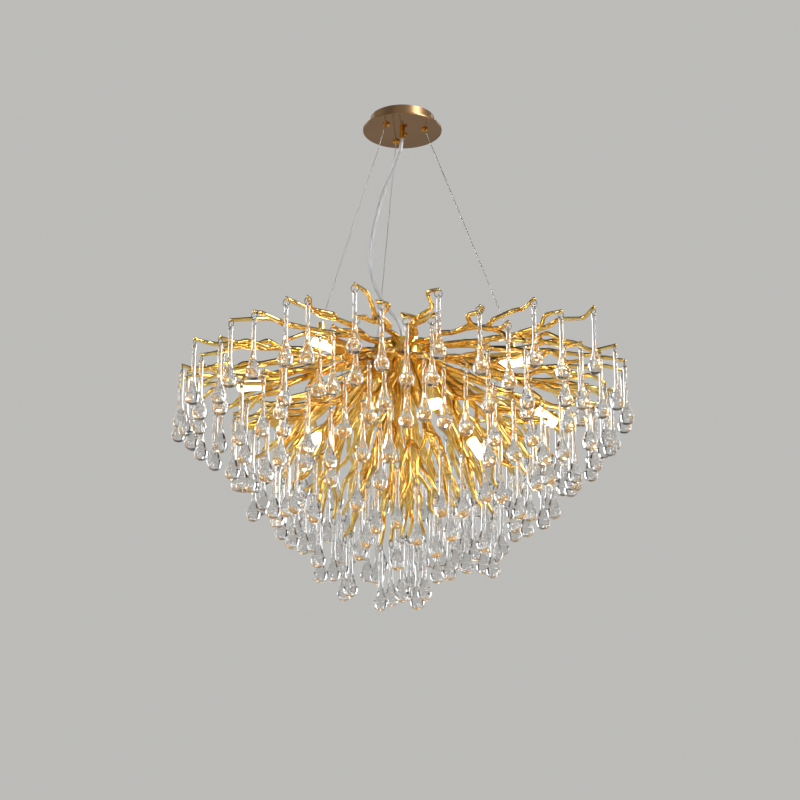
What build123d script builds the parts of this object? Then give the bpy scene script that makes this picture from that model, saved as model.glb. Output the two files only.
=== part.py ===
"""Branch chandelier: a ceiling canopy, three steel wires and a power cord carry a hub.

Gold branches grow from the hub in five tiers. Every twig ends in a hole, a wire ring
and a clear glass drop. Nine capsule lamps plug into sockets between the branches.
Frame: millimetres, +Z up, origin at the middle of the bracket's top face, on the ceiling.
Bearings are degrees in plan, 0 along +X and 90 along +Y. The front faces -Y.
"""
import os
import random
from itertools import combinations
from math import atan2, cos, degrees, hypot, radians, sin, sqrt, tan

from build123d import *

# --- canopy and bracket ---
PLATE_RADIUS = 73.0
PLATE_THICKNESS = 3.0
CANOPY_RADIUS = 59.5
CANOPY_WALL = 1.5
CANOPY_HEIGHT = 22.0
BRACKET_WIDTH = 22.0
BRACKET_THICKNESS = 2.0
EAR_DROP = 14.0
EAR_GAP = 0.3
CEILING_HOLE_RADIUS = 2.6
CEILING_HOLE_SPREAD = 84.0
GRUB_RADIUS = 2.0
GRUB_LENGTH = 7.0
GRUB_DROP = 9.0
TERMINAL_LENGTH = 26.0
TERMINAL_WIDTH = 16.0
TERMINAL_HEIGHT = 11.0
TERMINAL_PITCH = 8.0
TERMINAL_SCREW_RADIUS = 1.6

# --- wires and their fittings ---
WIRE_BEARINGS = (-14, 106, 226)
WIRE_RADIUS = 1.0
WIRE_TOP_CIRCLE = 42.0
WIRE_LOW_CIRCLE = 200.0
WIRE_TAIL = 3.0
COLLAR_RADIUS = 6.2
COLLAR_HEIGHT = 2.5
SEAT_THREAD_RADIUS = 4.8
BALL_RADIUS = 3.6
MOUTH_RADII = (3.2, 4.4)
NECK_RADIUS = 2.3
NECK_LENGTH = 5.0
GRIPPER_RADIUS = 4.2
GRIPPER_LENGTH = 12.0
PLUNGER_RADIUS = 1.7
PLUNGER_START = 1.2
PLUNGER_END = 7.5
PLUNGER_TRAVEL = 2.0
FERRULE_RADIUS = 6.0
FERRULE_TOP = -458.0
FERRULE_SPIGOT = 2.8

# --- power cord and its fittings ---
CORD_RADIUS = 3.25
GLAND_RADIUS = 5.0
GLAND_HEIGHT = 14.5
GLAND_NUT_RADIUS = 8.0
GLAND_SEAT_DEPTH = 11.5
GLAND_THREAD_RADIUS = 4.3
THUMB_SCREW_RADIUS = 1.4
BUSH_RADIUS = 6.5
BUSH_HEIGHT = 8.0
BUSH_SEAT_DEPTH = 6.0

# --- hub ---
HUB_TOP = -447.0
HUB_RADIUS = 46.0
HUB_WALL = 5.0
TOP_PLATE_RADIUS = 50.0
TOP_PLATE_THICKNESS = 3.0
FLOOR_THICKNESS = 4.0
DRUM_HEIGHT = 68.0
POST_CIRCLE = 33.0
POST_RADIUS = 4.0
POST_BEARINGS = (46, 166, 286)
HUB_SCREW_RADIUS = 1.6
ROW_PITCH = 12.0
ARM_WIDTH = 8.0
ARM_HEIGHT = 8.0
ARM_END = 214.0

# --- branches ---
RIM_RADIUS = 400.0
RIM_Z = -490.0
LOWEST_TIP_Z = -830.0
BOWL_POWER = 1.45
STEM_RADIUS = 4.8
LIMB_RADIUS = 3.8
TWIG_RADIUS = 3.0
SPIGOT_RADIUS = 3.8
STEM_LEAD = 15.0
FORK_SHARE = 0.36
SWAY = 7.0
TWIG_SWAY = {"rim_front": 13.0, "rim_back": 12.0, "shoulder": 9.0}
TIP_SINK = 12.0
TIP_LIFT = 46.0
EYE_RADIUS = 2.0
THINNEST_TWIG = 0.92
END_LENGTH = 3.4
KNUCKLE_SWELL = 1.2

# --- rings and glass drops ---
RING_RADIUS = 6.4
RING_WIRE = 0.6
BULB_RADIUS = 13.0
DROP_LENGTH = 108.0
GLASS_STEM_RADIUS = 3.4
HEAD_RADIUS = 4.2
HEAD_HEIGHT = 8.0
HEAD_THICKNESS = 4.4
DROP_GAP = 10.0

# --- lamps ---
LAMP_RADIUS = 8.5
LAMP_LENGTH = 40.0
LAMP_BASE = (14.0, 6.0, 8.0)
PIN_RADIUS = 0.6
PIN_LENGTH = 7.0
PIN_SPREAD = 9.5
SOCKET_RADIUS = 9.2
SOCKET_LENGTH = 18.0
CUP_WALL = 1.2
CUP_LENGTH = 21.0
LAMP_ARM_RADIUS = 4.0

# --- clearances ---
FIT = 0.1
LOOSE = 0.3

plate_top = -CANOPY_HEIGHT
plate_under = plate_top - PLATE_THICKNESS
drum_top = HUB_TOP - TOP_PLATE_THICKNESS
drum_under = drum_top - DRUM_HEIGHT
floor_under = drum_under - FLOOR_THICKNESS
row_first = drum_top - 7.0
rows = [row_first - ROW_PITCH * k for k in range(5)]
arm_z = rows[2]
tip_pitch = 2 * BULB_RADIUS + DROP_GAP


def place(bearing, radius, z):
    """A point from its bearing, its distance from the axis and its height."""
    return (radius * cos(radians(bearing)), radius * sin(radians(bearing)), z)


def between(start, end, share):
    return tuple(a + (b - a) * share for a, b in zip(start, end))


def middle(points):
    return tuple(sum(values) / len(points) for values in zip(*points))


# Rim branches of the front half, as the view from below shows them:
# the stem's bearing, then the bearing and radius of each twig tip.
FRONT_RIM = (
    (-176, ((-169, 380), (-179, 372), (-163, 362), (-174, 388))),
    (-153, ((-143, 378), (-152, 396), (-157, 364), (-148, 354))),
    (-121, ((-135, 396), (-128, 390), (-122, 358))),
    (-112, ((-113, 388), (-108, 360), (-118, 394))),
    (-100, ((-101, 396), (-95, 374), (-102, 358))),
    (-86, ((-89, 360), (-82, 394), (-83, 356))),
    (-61, ((-58, 396), (-63, 358), (-56, 356), (-71, 376))),
    (-42, ((-45, 372), (-37, 366), (-39, 404), (-49, 392))),
    (-26, ((-29, 376), (-21, 388), (-30, 344))),
    (-3, ((-11, 358), (3, 362), (-4, 388), (-13, 394))),
)
BACK_RIM = {"slots": 7, "first": 17.0, "last": 170.0, "inner": 352.0, "outer": 398.0, "tips": 4}

# Tiers under the rim: equal slots round the hub, some of them left to lamp arms.
TIERS = {
    "shoulder": {"slots": 12, "first": 1.0, "inner": 292.0, "outer": 346.0, "tips": 5},
    "upper": {"slots": 16, "first": -11.0, "inner": 212.0, "outer": 284.0, "tips": 4},
    "middle": {"slots": 11, "first": -136.0, "inner": 140.0, "outer": 200.0, "tips": 3},
    "lower": {"slots": 5, "first": -78.0, "inner": 76.0, "outer": 122.0, "tips": 2},
    "heart": {"slots": 3, "first": -60.0, "inner": 18.0, "outer": 56.0, "tips": 2},
}
LAMP_SLOTS = {"shoulder": (6,), "upper": (0, 5, 13), "middle": (0, 3)}

# Where the tips of one branch stand: share of its slot's width, share of the tier's depth.
FANS = {
    2: ((-0.25, 0.25), (0.25, 0.75)),
    3: ((-0.31, 0.12), (-0.02, 0.88), (0.31, 0.30)),
    4: ((-0.36, 0.10), (-0.12, 0.85), (0.12, 0.18), (0.36, 0.92)),
    5: ((-0.40, 0.15), (-0.21, 0.90), (-0.01, 0.10), (0.19, 0.85), (0.39, 0.20)),
}


def fan_tips(bearing, width, tier, rng):
    """Bearing and radius of each tip of a branch that fills one slot of its tier."""
    tips = []
    for across, out in FANS[tier["tips"]]:
        tip_bearing = bearing + across * width + rng.uniform(-1, 1)
        radius = tier["inner"] + out * (tier["outer"] - tier["inner"]) + rng.uniform(-6, 6)
        tips.append((tip_bearing, radius))
    return tips


def plan_branches():
    """Every branch as its tier, its stem's bearing and its tips in plan."""
    rng = random.Random(5)
    branches = []
    for bearing, tips in FRONT_RIM:
        branches.append({"tier": "rim_front", "bearing": bearing, "tips": list(tips)})
    step = (BACK_RIM["last"] - BACK_RIM["first"]) / (BACK_RIM["slots"] - 1)
    for slot in range(BACK_RIM["slots"]):
        bearing = BACK_RIM["first"] + slot * step
        tips = fan_tips(bearing, step * 0.9, BACK_RIM, rng)
        branches.append({"tier": "rim_back", "bearing": bearing, "tips": tips})
    for name, tier in TIERS.items():
        width = 360 / tier["slots"]
        for slot in range(tier["slots"]):
            bearing = tier["first"] + slot * width
            tips = fan_tips(bearing, width, tier, rng)
            if slot not in LAMP_SLOTS.get(name, ()):
                branches.append({"tier": name, "bearing": bearing, "tips": tips})
    return branches


def spread(branches):
    """Moves tips apart in plan until the drops that hang from them are clear of each other."""
    spots = [[*place(b, r, 0)[:2]] for branch in branches for b, r in branch["tips"]]
    for _ in range(40):
        for a, b in combinations(spots, 2):
            apart = hypot(a[0] - b[0], a[1] - b[1])
            if apart < tip_pitch:
                push = (tip_pitch + 0.5 - apart) / 2 / apart
                dx, dy = (a[0] - b[0]) * push, (a[1] - b[1]) * push
                a[0] += dx
                a[1] += dy
                b[0] -= dx
                b[1] -= dy
    queue = iter(spots)
    for number, branch in enumerate(branches):
        rng = random.Random(100 + number)
        branch["tips"] = [tip_point(next(queue), rng) for _ in branch["tips"]]


def tip_point(spot, rng):
    """The tips lie on a bowl, low in the middle and high at the rim."""
    share = hypot(*spot) / RIM_RADIUS
    z = LOWEST_TIP_Z + (RIM_Z - LOWEST_TIP_Z) * share**BOWL_POWER
    lift = TIP_LIFT * max(0.0, 1 - share) ** 0.25 if share < 0.9 else 0.0
    return (*spot, z + rng.uniform(-TIP_SINK, max(lift, TIP_SINK)))


def bend(start, end, bends, sway, rng):
    """Uneven bends between two points, standing off the straight line by up to sway."""
    along = Vector(*end) - Vector(*start)
    outward = Vector(start[0] + end[0], start[1] + end[1], 0).normalized()
    aside = Vector(-outward.Y, outward.X, 0)
    rise = along.normalized().cross(aside)
    turn = rng.choice((-1, 1))
    points = []
    for k in range(bends):
        share = (k + 1 + rng.uniform(-0.18, 0.18)) / (bends + 1)
        shift = aside * (turn * rng.uniform(0.55, 1.0) * sway) + rise * (rng.uniform(-0.8, 0.8) * sway)
        points.append(tuple(Vector(*between(start, end, share)) + shift))
        turn = -turn if rng.random() < 0.75 else turn
    return points


# Where the tips of a branch are parted into the groups that share a limb.
FORKS = {2: (0, 2), 3: (0, 2, 3), 4: (0, 2, 4), 5: (0, 2, 3, 5)}

# How far from the axis and how high the stems of each tier leave the hub.
STARTS = {
    "rim_front": lambda number: (HUB_RADIUS, rows[number % 2]),
    "rim_back": lambda number: (HUB_RADIUS, rows[number % 2]),
    "shoulder": lambda number: (HUB_RADIUS, rows[2]),
    "upper": lambda number: (HUB_RADIUS, rows[3]),
    "middle": lambda number: (HUB_RADIUS, rows[4]),
    "lower": lambda number: (20.0, floor_under),
    "heart": lambda number: (8.5, floor_under),
}


def grow(branch, number):
    """Adds the branch's runs: a list of (kind, points), each from its fork to the next."""
    rng = random.Random(1000 + number)
    radius, z = STARTS[branch["tier"]](number)
    bearing = branch["bearing"]
    upright = branch["tier"] in ("lower", "heart")
    if upright:
        root = place(bearing, radius, z + FLOOR_THICKNESS)
        lead = place(bearing, radius, z - STEM_LEAD)
    else:
        root = place(bearing, radius - HUB_WALL, z)
        lead = place(bearing, radius + STEM_LEAD, z)
    aim = middle(branch["tips"])
    share = FORK_SHARE if len(branch["tips"]) > 2 else FORK_SHARE + 0.12
    fork = between(lead, aim, share)
    steps = 1 if upright else 2
    runs = [("stem", [root, lead, *bend(lead, fork, steps, SWAY * 0.7, rng), fork])]
    side_x, side_y, _ = place(bearing + 90, 1.0, 0)
    tips = sorted(branch["tips"], key=lambda tip: tip[0] * side_x + tip[1] * side_y)
    cuts = FORKS[len(tips)]
    groups = [tips[a:b] for a, b in zip(cuts, cuts[1:])]
    sway = TWIG_SWAY.get(branch["tier"], SWAY)
    for group in groups:
        joint = fork
        if len(group) == 2 and len(groups) > 1:
            joint = between(fork, middle(group), 0.42 + rng.uniform(-0.06, 0.06))
            runs.append(("limb", [fork, *bend(fork, joint, 1, sway * 0.6, rng), joint]))
        for tip in group:
            length = (Vector(*tip) - Vector(*joint)).length
            bends = max(1, round(length / 42))
            runs.append(("twig", [joint, *bend(joint, tip, bends, sway, rng), tip]))
    branch["root"] = root
    branch["runs"] = runs
    branch["upright"] = upright


def arc_radii(points, share=0.45):
    """For each corner of a route, the largest arc that its two runs allow."""
    radii = []
    for a, b, c in zip(points, points[1:], points[2:]):
        before = Vector(*b) - Vector(*a)
        after = Vector(*c) - Vector(*b)
        turn = radians(before.get_angle(after))
        radii.append(share * min(before.length, after.length) / tan(turn / 2))
    return radii


def tube(points, radius):
    """A round bar along straight runs joined by tangent arcs."""
    route = FilletPolyline(*points, radius=arc_radii(points))
    start = Plane(origin=route @ 0, z_dir=route % 0)
    return sweep(start * Circle(radius), path=route)


def rod(start, end, radius):
    """A straight round bar between two points."""
    along = Vector(*end) - Vector(*start)
    return extrude(Plane(origin=start, z_dir=along) * Circle(radius), along.length)


def outward_bearing(tip):
    return degrees(atan2(tip[1], tip[0]))


def at_tip(tip, drop=0.0):
    """A frame at a tip, or below it: its Y axis runs along the hole, its X axis outward."""
    return Location((tip[0], tip[1], tip[2] - drop), (0, 0, outward_bearing(tip)))


def past_eye(points):
    """The same run with its last point moved on, so that the bar ends beyond its eye."""
    last = Vector(*points[-1]) - Vector(*points[-2])
    end = Vector(*points[-1]) + last.normalized() * END_LENGTH
    return [*points[:-1], tuple(end)]


def make_knuckle(end, before, radius):
    """A short barrel round the end of a bar, where the next bars start."""
    half = 0.9 * radius
    outline = [(0, -half), (0.6 * radius, -half), (radius, -0.3 * half)]
    outline += [(x, -y) for x, y in reversed(outline)]
    barrel = revolve(Plane.XZ * make_face(Polyline(*outline, close=True)), Axis.Z)
    return Plane(origin=end, z_dir=Vector(*end) - Vector(*before)) * barrel


def make_branch(branch):
    """One branch as one solid: its runs, a knuckle at each fork and an eye near each tip."""
    radius = {"stem": STEM_RADIUS, "limb": LIMB_RADIUS, "twig": TWIG_RADIUS}
    rng = random.Random(2000 + round(branch["bearing"]))
    pieces = []
    for kind, points in branch["runs"]:
        thickness = radius[kind]
        if kind == "twig":
            thickness *= rng.uniform(THINNEST_TWIG, 1.0)
            pieces.append(tube(past_eye(points), thickness))
        else:
            pieces.append(tube(points, thickness))
            pieces.append(make_knuckle(points[-1], points[-2], thickness + KNUCKLE_SWELL))
    solid = pieces[0]
    for piece in pieces[1:]:
        solid = solid + piece
    hole = Cylinder(EYE_RADIUS, 4 * TWIG_RADIUS)
    for tip in branch["tips"]:
        solid = solid - at_tip(tip) * Rot(90, 0, 0) * hole
    most = sum(piece.volume for piece in pieces)
    if len(solid.solids()) != 1 or not 0.8 * most < solid.volume < most:
        raise ValueError("the pieces of a branch don't fuse to one solid")
    return solid


# --- rings and drops ---
def make_ring():
    """A closed wire ring, its top running through a twig's eye at the origin."""
    return Pos(0, 0, -RING_RADIUS) * Rot(0, 90, 0) * Torus(RING_RADIUS, RING_WIRE)


def make_drop():
    """A solid glass drop: pinched head with a hole at the origin, long stem, round bulb."""
    top = EYE_RADIUS + 2.1
    bulb_z = top - DROP_LENGTH + BULB_RADIUS
    lean = radians(50)
    flare = (BULB_RADIUS * sin(lean), bulb_z + BULB_RADIUS * cos(lean))
    swell_z = flare[1] + 22.0
    side = [(0, top), (HEAD_RADIUS - 1.0, top), (HEAD_RADIUS, top - 1.0), (HEAD_RADIUS, top - HEAD_HEIGHT)]
    neck = (GLASS_STEM_RADIUS, top - HEAD_HEIGHT - 5.0)
    swell = (GLASS_STEM_RADIUS + 0.3, swell_z)
    waist = ((swell[0] + flare[0]) / 2 - 1.5, (swell[1] + flare[1]) / 2 - 1.0)
    outline = Polyline(*side, neck, swell)
    outline += ThreePointArc(swell, waist, flare)
    low = radians(115)
    outline += ThreePointArc(
        flare,
        (BULB_RADIUS * sin(low), bulb_z + BULB_RADIUS * cos(low)),
        (0, bulb_z - BULB_RADIUS),
    )
    outline += Line((0, bulb_z - BULB_RADIUS), (0, top))
    drop = revolve(Plane.XZ * make_face(outline), Axis.Z)
    for way in (-1, 1):
        flat = Box(HEAD_RADIUS * 3, HEAD_RADIUS, HEAD_HEIGHT + 1.0)
        shift = HEAD_THICKNESS / 2 + HEAD_RADIUS / 2
        drop -= Pos(0, way * shift, top - HEAD_HEIGHT / 2 + 0.5) * flat
    return drop - Rot(90, 0, 0) * Cylinder(EYE_RADIUS, 4 * HEAD_RADIUS)


# --- canopy ---
def make_bracket():
    reach = CANOPY_RADIUS - CANOPY_WALL - EAR_GAP
    strip = Pos(0, 0, -BRACKET_THICKNESS / 2) * Box(2 * reach, BRACKET_WIDTH, BRACKET_THICKNESS)
    for way in (-1, 1):
        ear = Box(BRACKET_THICKNESS, BRACKET_WIDTH, EAR_DROP)
        strip += Pos(way * (reach - BRACKET_THICKNESS / 2), 0, -BRACKET_THICKNESS - EAR_DROP / 2) * ear
    round_wall = Cylinder(reach, 2 * (EAR_DROP + BRACKET_THICKNESS))
    strip = strip & round_wall
    hole = Cylinder(CEILING_HOLE_RADIUS, 3 * BRACKET_THICKNESS)
    for way in (-1, 1):
        strip -= Pos(way * CEILING_HOLE_SPREAD / 2, 0, 0) * hole
    thread = Pos(0, 0, -GRUB_DROP) * Rot(0, 90, 0) * Cylinder(GRUB_RADIUS + FIT, 3 * reach)
    strip -= thread
    for way in (-1, 1):
        strip -= terminal_place() * Pos(way * TERMINAL_PITCH, 0, 0) * Cylinder(CEILING_HOLE_RADIUS / 2, 9)
    return strip


def make_canopy():
    wall = Pos(0, 0, plate_top / 2) * Cylinder(CANOPY_RADIUS, CANOPY_HEIGHT)
    inner = CANOPY_RADIUS - CANOPY_WALL
    wall -= Pos(0, 0, plate_top / 2) * Cylinder(inner, CANOPY_HEIGHT)
    plate = Pos(0, 0, (plate_top + plate_under) / 2) * Cylinder(PLATE_RADIUS, PLATE_THICKNESS)
    cover = wall + plate
    rim = cover.faces().sort_by(Axis.Z)[0].edges().sort_by(SortBy.RADIUS)[-1]
    cover = chamfer(rim, 0.4)
    cover -= Pos(0, 0, plate_under) * Cylinder(GLAND_THREAD_RADIUS + FIT, 4 * PLATE_THICKNESS)
    for bearing in WIRE_BEARINGS:
        hole = Cylinder(SEAT_THREAD_RADIUS + FIT, 4 * PLATE_THICKNESS)
        cover -= Pos(*place(bearing, WIRE_TOP_CIRCLE, plate_under)) * hole
    cover -= Pos(0, 0, -GRUB_DROP) * Rot(0, 90, 0) * Cylinder(GRUB_RADIUS + FIT, 3 * CANOPY_RADIUS)
    return cover


def make_grub_screws():
    screws = []
    for way in (-1, 1):
        outer = (way * (CANOPY_RADIUS - LOOSE), 0, -GRUB_DROP)
        inner = (way * (CANOPY_RADIUS - LOOSE - GRUB_LENGTH), 0, -GRUB_DROP)
        screw = rod(inner, outer, GRUB_RADIUS)
        socket = rod(outer, (outer[0] - way * 2.0, 0, -GRUB_DROP), GRUB_RADIUS / 2)
        screws.append(screw - socket)
    return screws


def terminal_place():
    return Pos(-24.0, 0, -BRACKET_THICKNESS)


def make_terminal_block():
    block = Pos(0, 0, -TERMINAL_HEIGHT / 2) * Box(TERMINAL_LENGTH, TERMINAL_WIDTH, TERMINAL_HEIGHT)
    for k in (-1, 0, 1):
        bore = Pos(k * TERMINAL_PITCH, 0, -TERMINAL_HEIGHT * 0.6) * Rot(90, 0, 0)
        block -= bore * Cylinder(TERMINAL_SCREW_RADIUS + 0.2, 2 * TERMINAL_WIDTH)
        for side in (-1, 1):
            hole = Cylinder(TERMINAL_SCREW_RADIUS + FIT, TERMINAL_HEIGHT)
            block -= Pos(k * TERMINAL_PITCH, side * 4.5, -TERMINAL_HEIGHT) * hole
    return terminal_place() * block


def make_terminal_screws():
    screws = []
    for k in (-1, 0, 1):
        for side in (-1, 1):
            length = TERMINAL_HEIGHT * 0.35
            spot = Pos(k * TERMINAL_PITCH, side * 4.5, -TERMINAL_HEIGHT + 0.5 + length / 2)
            screws.append(terminal_place() * spot * Cylinder(TERMINAL_SCREW_RADIUS, length))
    return screws


# --- wires ---
# Distances along a wire are counted down from the middle of its ball.
ball_z = plate_under + 1.0
gripper_top = -NECK_LENGTH - GRIPPER_LENGTH


def wire_ends(bearing):
    return place(bearing, WIRE_TOP_CIRCLE, ball_z), place(bearing, WIRE_LOW_CIRCLE, FERRULE_TOP)


def along_wire(bearing, distance):
    top, low = wire_ends(bearing)
    way = (Vector(*low) - Vector(*top)).normalized()
    return tuple(Vector(*top) + way * distance)


def make_seat(bearing):
    """A brass cup screwed up through the plate; the gripper's ball turns in it."""
    x, y, _ = place(bearing, WIRE_TOP_CIRCLE, 0)
    collar_under = plate_under - COLLAR_HEIGHT
    seat = Pos(x, y, plate_under - COLLAR_HEIGHT / 2) * Cylinder(COLLAR_RADIUS, COLLAR_HEIGHT)
    thread_top = plate_top + 0.5
    thread = Cylinder(SEAT_THREAD_RADIUS, thread_top - plate_under)
    seat += Pos(x, y, (thread_top + plate_under) / 2) * thread
    seat -= Pos(x, y, ball_z) * Sphere(BALL_RADIUS + FIT)
    channel = thread_top - ball_z
    seat -= Pos(x, y, ball_z + channel / 2) * Cylinder(BALL_RADIUS + FIT, channel)
    throat, lip = MOUTH_RADII
    throat_z = ball_z - sqrt(BALL_RADIUS**2 - throat**2)
    mouth = Cone(lip, throat, throat_z - collar_under)
    return seat - Pos(x, y, (throat_z + collar_under) / 2) * mouth


def make_gripper(bearing):
    """The ball in its seat and the clamping body above it, bored for wire and plunger."""
    ball = along_wire(bearing, 0)
    body_under = along_wire(bearing, -NECK_LENGTH)
    body_top = along_wire(bearing, gripper_top)
    gripper = Pos(*ball) * Sphere(BALL_RADIUS)
    gripper += rod(ball, body_under, NECK_RADIUS)
    gripper += rod(body_under, body_top, GRIPPER_RADIUS)
    below = along_wire(bearing, 2 * BALL_RADIUS)
    gripper -= rod(below, along_wire(bearing, gripper_top - 1), WIRE_RADIUS + FIT)
    bore_top = along_wire(bearing, PLUNGER_START - PLUNGER_TRAVEL - 0.2)
    return gripper - rod(bore_top, below, PLUNGER_RADIUS + FIT)


def make_plunger(bearing):
    """The sleeve round the wire that is pressed up to let the wire slip."""
    start = along_wire(bearing, PLUNGER_START)
    end = along_wire(bearing, PLUNGER_END)
    return rod(start, end, PLUNGER_RADIUS) - rod(start, end, WIRE_RADIUS + FIT)


def make_wire(bearing):
    top, low = wire_ends(bearing)
    length = (Vector(*low) - Vector(*top)).length
    start = along_wire(bearing, gripper_top - WIRE_TAIL)
    return rod(start, along_wire(bearing, length + 6.0), WIRE_RADIUS)


def make_ferrule(bearing):
    """The post on an arm's end that holds the wire, with a spigot through the arm."""
    arm_top = arm_z + ARM_HEIGHT / 2
    height = FERRULE_TOP - arm_top
    x, y, _ = place(bearing, WIRE_LOW_CIRCLE, 0)
    post = Pos(x, y, arm_top + height / 2) * Cylinder(FERRULE_RADIUS, height)
    post += Pos(x, y, arm_z) * Cylinder(FERRULE_SPIGOT, ARM_HEIGHT)
    top, low = wire_ends(bearing)
    length = (Vector(*low) - Vector(*top)).length
    start, end = along_wire(bearing, length - 3.0), along_wire(bearing, length + 6.0)
    return post - rod(start, end, WIRE_RADIUS + FIT)


# --- power cord ---
gland_under = plate_under - GLAND_HEIGHT
CORD_ROUTE = (
    (0, 0, -28),
    (0, 0, -56),
    (-14, 4, -94),
    (-33, 6, -137),
    (-47, 8, -190),
    (-58, 8, -246),
    (-59, 6, -296),
    (-49, 4, -340),
    (-27, 2, -376),
    (-7, 1, -402),
    (0, 0, -426),
    (0, 0, -445),
)


def make_gland():
    body = Pos(0, 0, plate_under - GLAND_HEIGHT / 2) * Cylinder(GLAND_RADIUS, GLAND_HEIGHT)
    thread_top = plate_top + 4.5
    thread = Cylinder(GLAND_THREAD_RADIUS, thread_top - plate_under)
    body += Pos(0, 0, (plate_under + thread_top) / 2) * thread
    cord_seat = Cylinder(CORD_RADIUS + FIT, GLAND_SEAT_DEPTH)
    body -= Pos(0, 0, gland_under + GLAND_SEAT_DEPTH / 2) * cord_seat
    body -= Pos(0, 0, plate_under) * Cylinder(CORD_RADIUS - 0.8, 4 * GLAND_HEIGHT)
    return body - rod(*thumb_screw_line(), THUMB_SCREW_RADIUS + FIT)


def thumb_screw_line():
    z = plate_under - GLAND_HEIGHT * 0.62
    return place(-45, CORD_RADIUS + LOOSE, z), place(-45, GLAND_RADIUS + 2.5, z)


def make_thumb_screw():
    inner, outer = thumb_screw_line()
    z = inner[2]
    head = rod(outer, place(-45, GLAND_RADIUS + 5.5, z), 2 * THUMB_SCREW_RADIUS)
    return rod(inner, outer, THUMB_SCREW_RADIUS) + head


def make_gland_nut():
    thickness = 3.5
    nut = extrude(RegularPolygon(GLAND_NUT_RADIUS, 6), thickness)
    return Pos(0, 0, plate_top) * (nut - Cylinder(GLAND_THREAD_RADIUS + FIT, 4 * thickness))


def make_cord():
    cord = tube(CORD_ROUTE, CORD_RADIUS)
    route = FilletPolyline(*CORD_ROUTE, radius=arc_radii(CORD_ROUTE))
    print("cord length", round(route.length, 1))
    return cord


def make_bush():
    """The cord's entry on the hub's top plate, with a spigot through the plate."""
    bush = Pos(0, 0, HUB_TOP + BUSH_HEIGHT / 2) * Cylinder(BUSH_RADIUS, BUSH_HEIGHT)
    bush += Pos(0, 0, HUB_TOP - TOP_PLATE_THICKNESS / 2) * Cylinder(BUSH_RADIUS - 1.5, TOP_PLATE_THICKNESS)
    seat = HUB_TOP + BUSH_HEIGHT - BUSH_SEAT_DEPTH
    bush -= Pos(0, 0, seat + BUSH_SEAT_DEPTH / 2) * Cylinder(CORD_RADIUS + FIT, BUSH_SEAT_DEPTH)
    return bush - Pos(0, 0, HUB_TOP) * Cylinder(CORD_RADIUS - 0.8, 4 * BUSH_HEIGHT)


# --- hub ---
def stem_holes(branches, reach):
    """Bores for the branches' spigots, through the drum's wall or the floor."""
    holes = {"wall": [], "floor": []}
    for branch in branches:
        bearing = branch["bearing"]
        root = branch["root"]
        if branch["upright"]:
            holes["floor"].append(Pos(*root) * Cylinder(STEM_RADIUS + FIT, 4 * FLOOR_THICKNESS))
        else:
            inner = place(bearing, HUB_RADIUS - 2 * HUB_WALL, root[2])
            outer = place(bearing, HUB_RADIUS + reach, root[2])
            holes["wall"].append(rod(inner, outer, STEM_RADIUS + FIT))
    return holes


def lamp_hole(lamp):
    row = rows[lamp["row"]]
    inner = place(lamp["slot"], HUB_RADIUS - 2 * HUB_WALL, row)
    outer = place(lamp["slot"], HUB_RADIUS + 1, row)
    return rod(inner, outer, LAMP_ARM_RADIUS + FIT)


def make_drum(branches, lamps):
    drum = Cylinder(HUB_RADIUS, DRUM_HEIGHT) - Cylinder(HUB_RADIUS - HUB_WALL, DRUM_HEIGHT)
    drum = Pos(0, 0, drum_top - DRUM_HEIGHT / 2) * drum
    drum = drum.cut(*stem_holes(branches, 1.0)["wall"])
    drum = drum.cut(*[lamp_hole(lamp) for lamp in lamps])
    for bearing in WIRE_BEARINGS:
        slot = Box(HUB_WALL * 3, ARM_WIDTH + 2 * FIT, ARM_HEIGHT + 2 * FIT)
        drum -= Pos(*place(bearing, HUB_RADIUS, arm_z)) * Rot(0, 0, bearing) * slot
    return drum


def make_arm(bearing):
    inner = HUB_RADIUS - HUB_WALL
    bar = Box(ARM_END - inner, ARM_WIDTH, ARM_HEIGHT)
    arm = Pos((ARM_END + inner) / 2, 0, arm_z) * bar
    arm -= Pos(WIRE_LOW_CIRCLE, 0, arm_z) * Cylinder(FERRULE_SPIGOT + FIT, 2 * ARM_HEIGHT)
    arm -= Pos(top_lamp_spigot, 0, arm_z) * Cylinder(CUP_SPIGOT + FIT, 2 * ARM_HEIGHT)
    return Rot(0, 0, bearing) * arm


def post_spots(z):
    return [Pos(*place(bearing, POST_CIRCLE, z)) for bearing in POST_BEARINGS]


def make_posts():
    posts = []
    for spot in post_spots(drum_top - DRUM_HEIGHT / 2):
        post = Cylinder(POST_RADIUS, DRUM_HEIGHT) - Cylinder(HUB_SCREW_RADIUS + FIT, DRUM_HEIGHT)
        posts.append(spot * post)
    return posts


def make_hub_screws():
    screws = []
    for spot in post_spots(0):
        for head_z, way in ((HUB_TOP, -1), (floor_under, 1)):
            shank = Pos(0, 0, head_z + way * 6.0) * Cylinder(HUB_SCREW_RADIUS, 12.0)
            head = Pos(0, 0, head_z - way * 1.1) * Cylinder(3.2, 2.2)
            slot = Pos(0, 0, head_z - way * 2.0) * Box(7, 0.8, 1.2)
            screws.append(spot * (shank + head - slot))
    return screws


def make_top_plate():
    plate = Cylinder(TOP_PLATE_RADIUS, TOP_PLATE_THICKNESS)
    plate = Pos(0, 0, HUB_TOP - TOP_PLATE_THICKNESS / 2) * plate
    plate -= Pos(0, 0, HUB_TOP) * Cylinder(BUSH_RADIUS - 1.5 + FIT, 4 * TOP_PLATE_THICKNESS)
    for spot in post_spots(HUB_TOP):
        plate -= spot * Cylinder(HUB_SCREW_RADIUS + FIT, 4 * TOP_PLATE_THICKNESS)
    return plate


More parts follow.
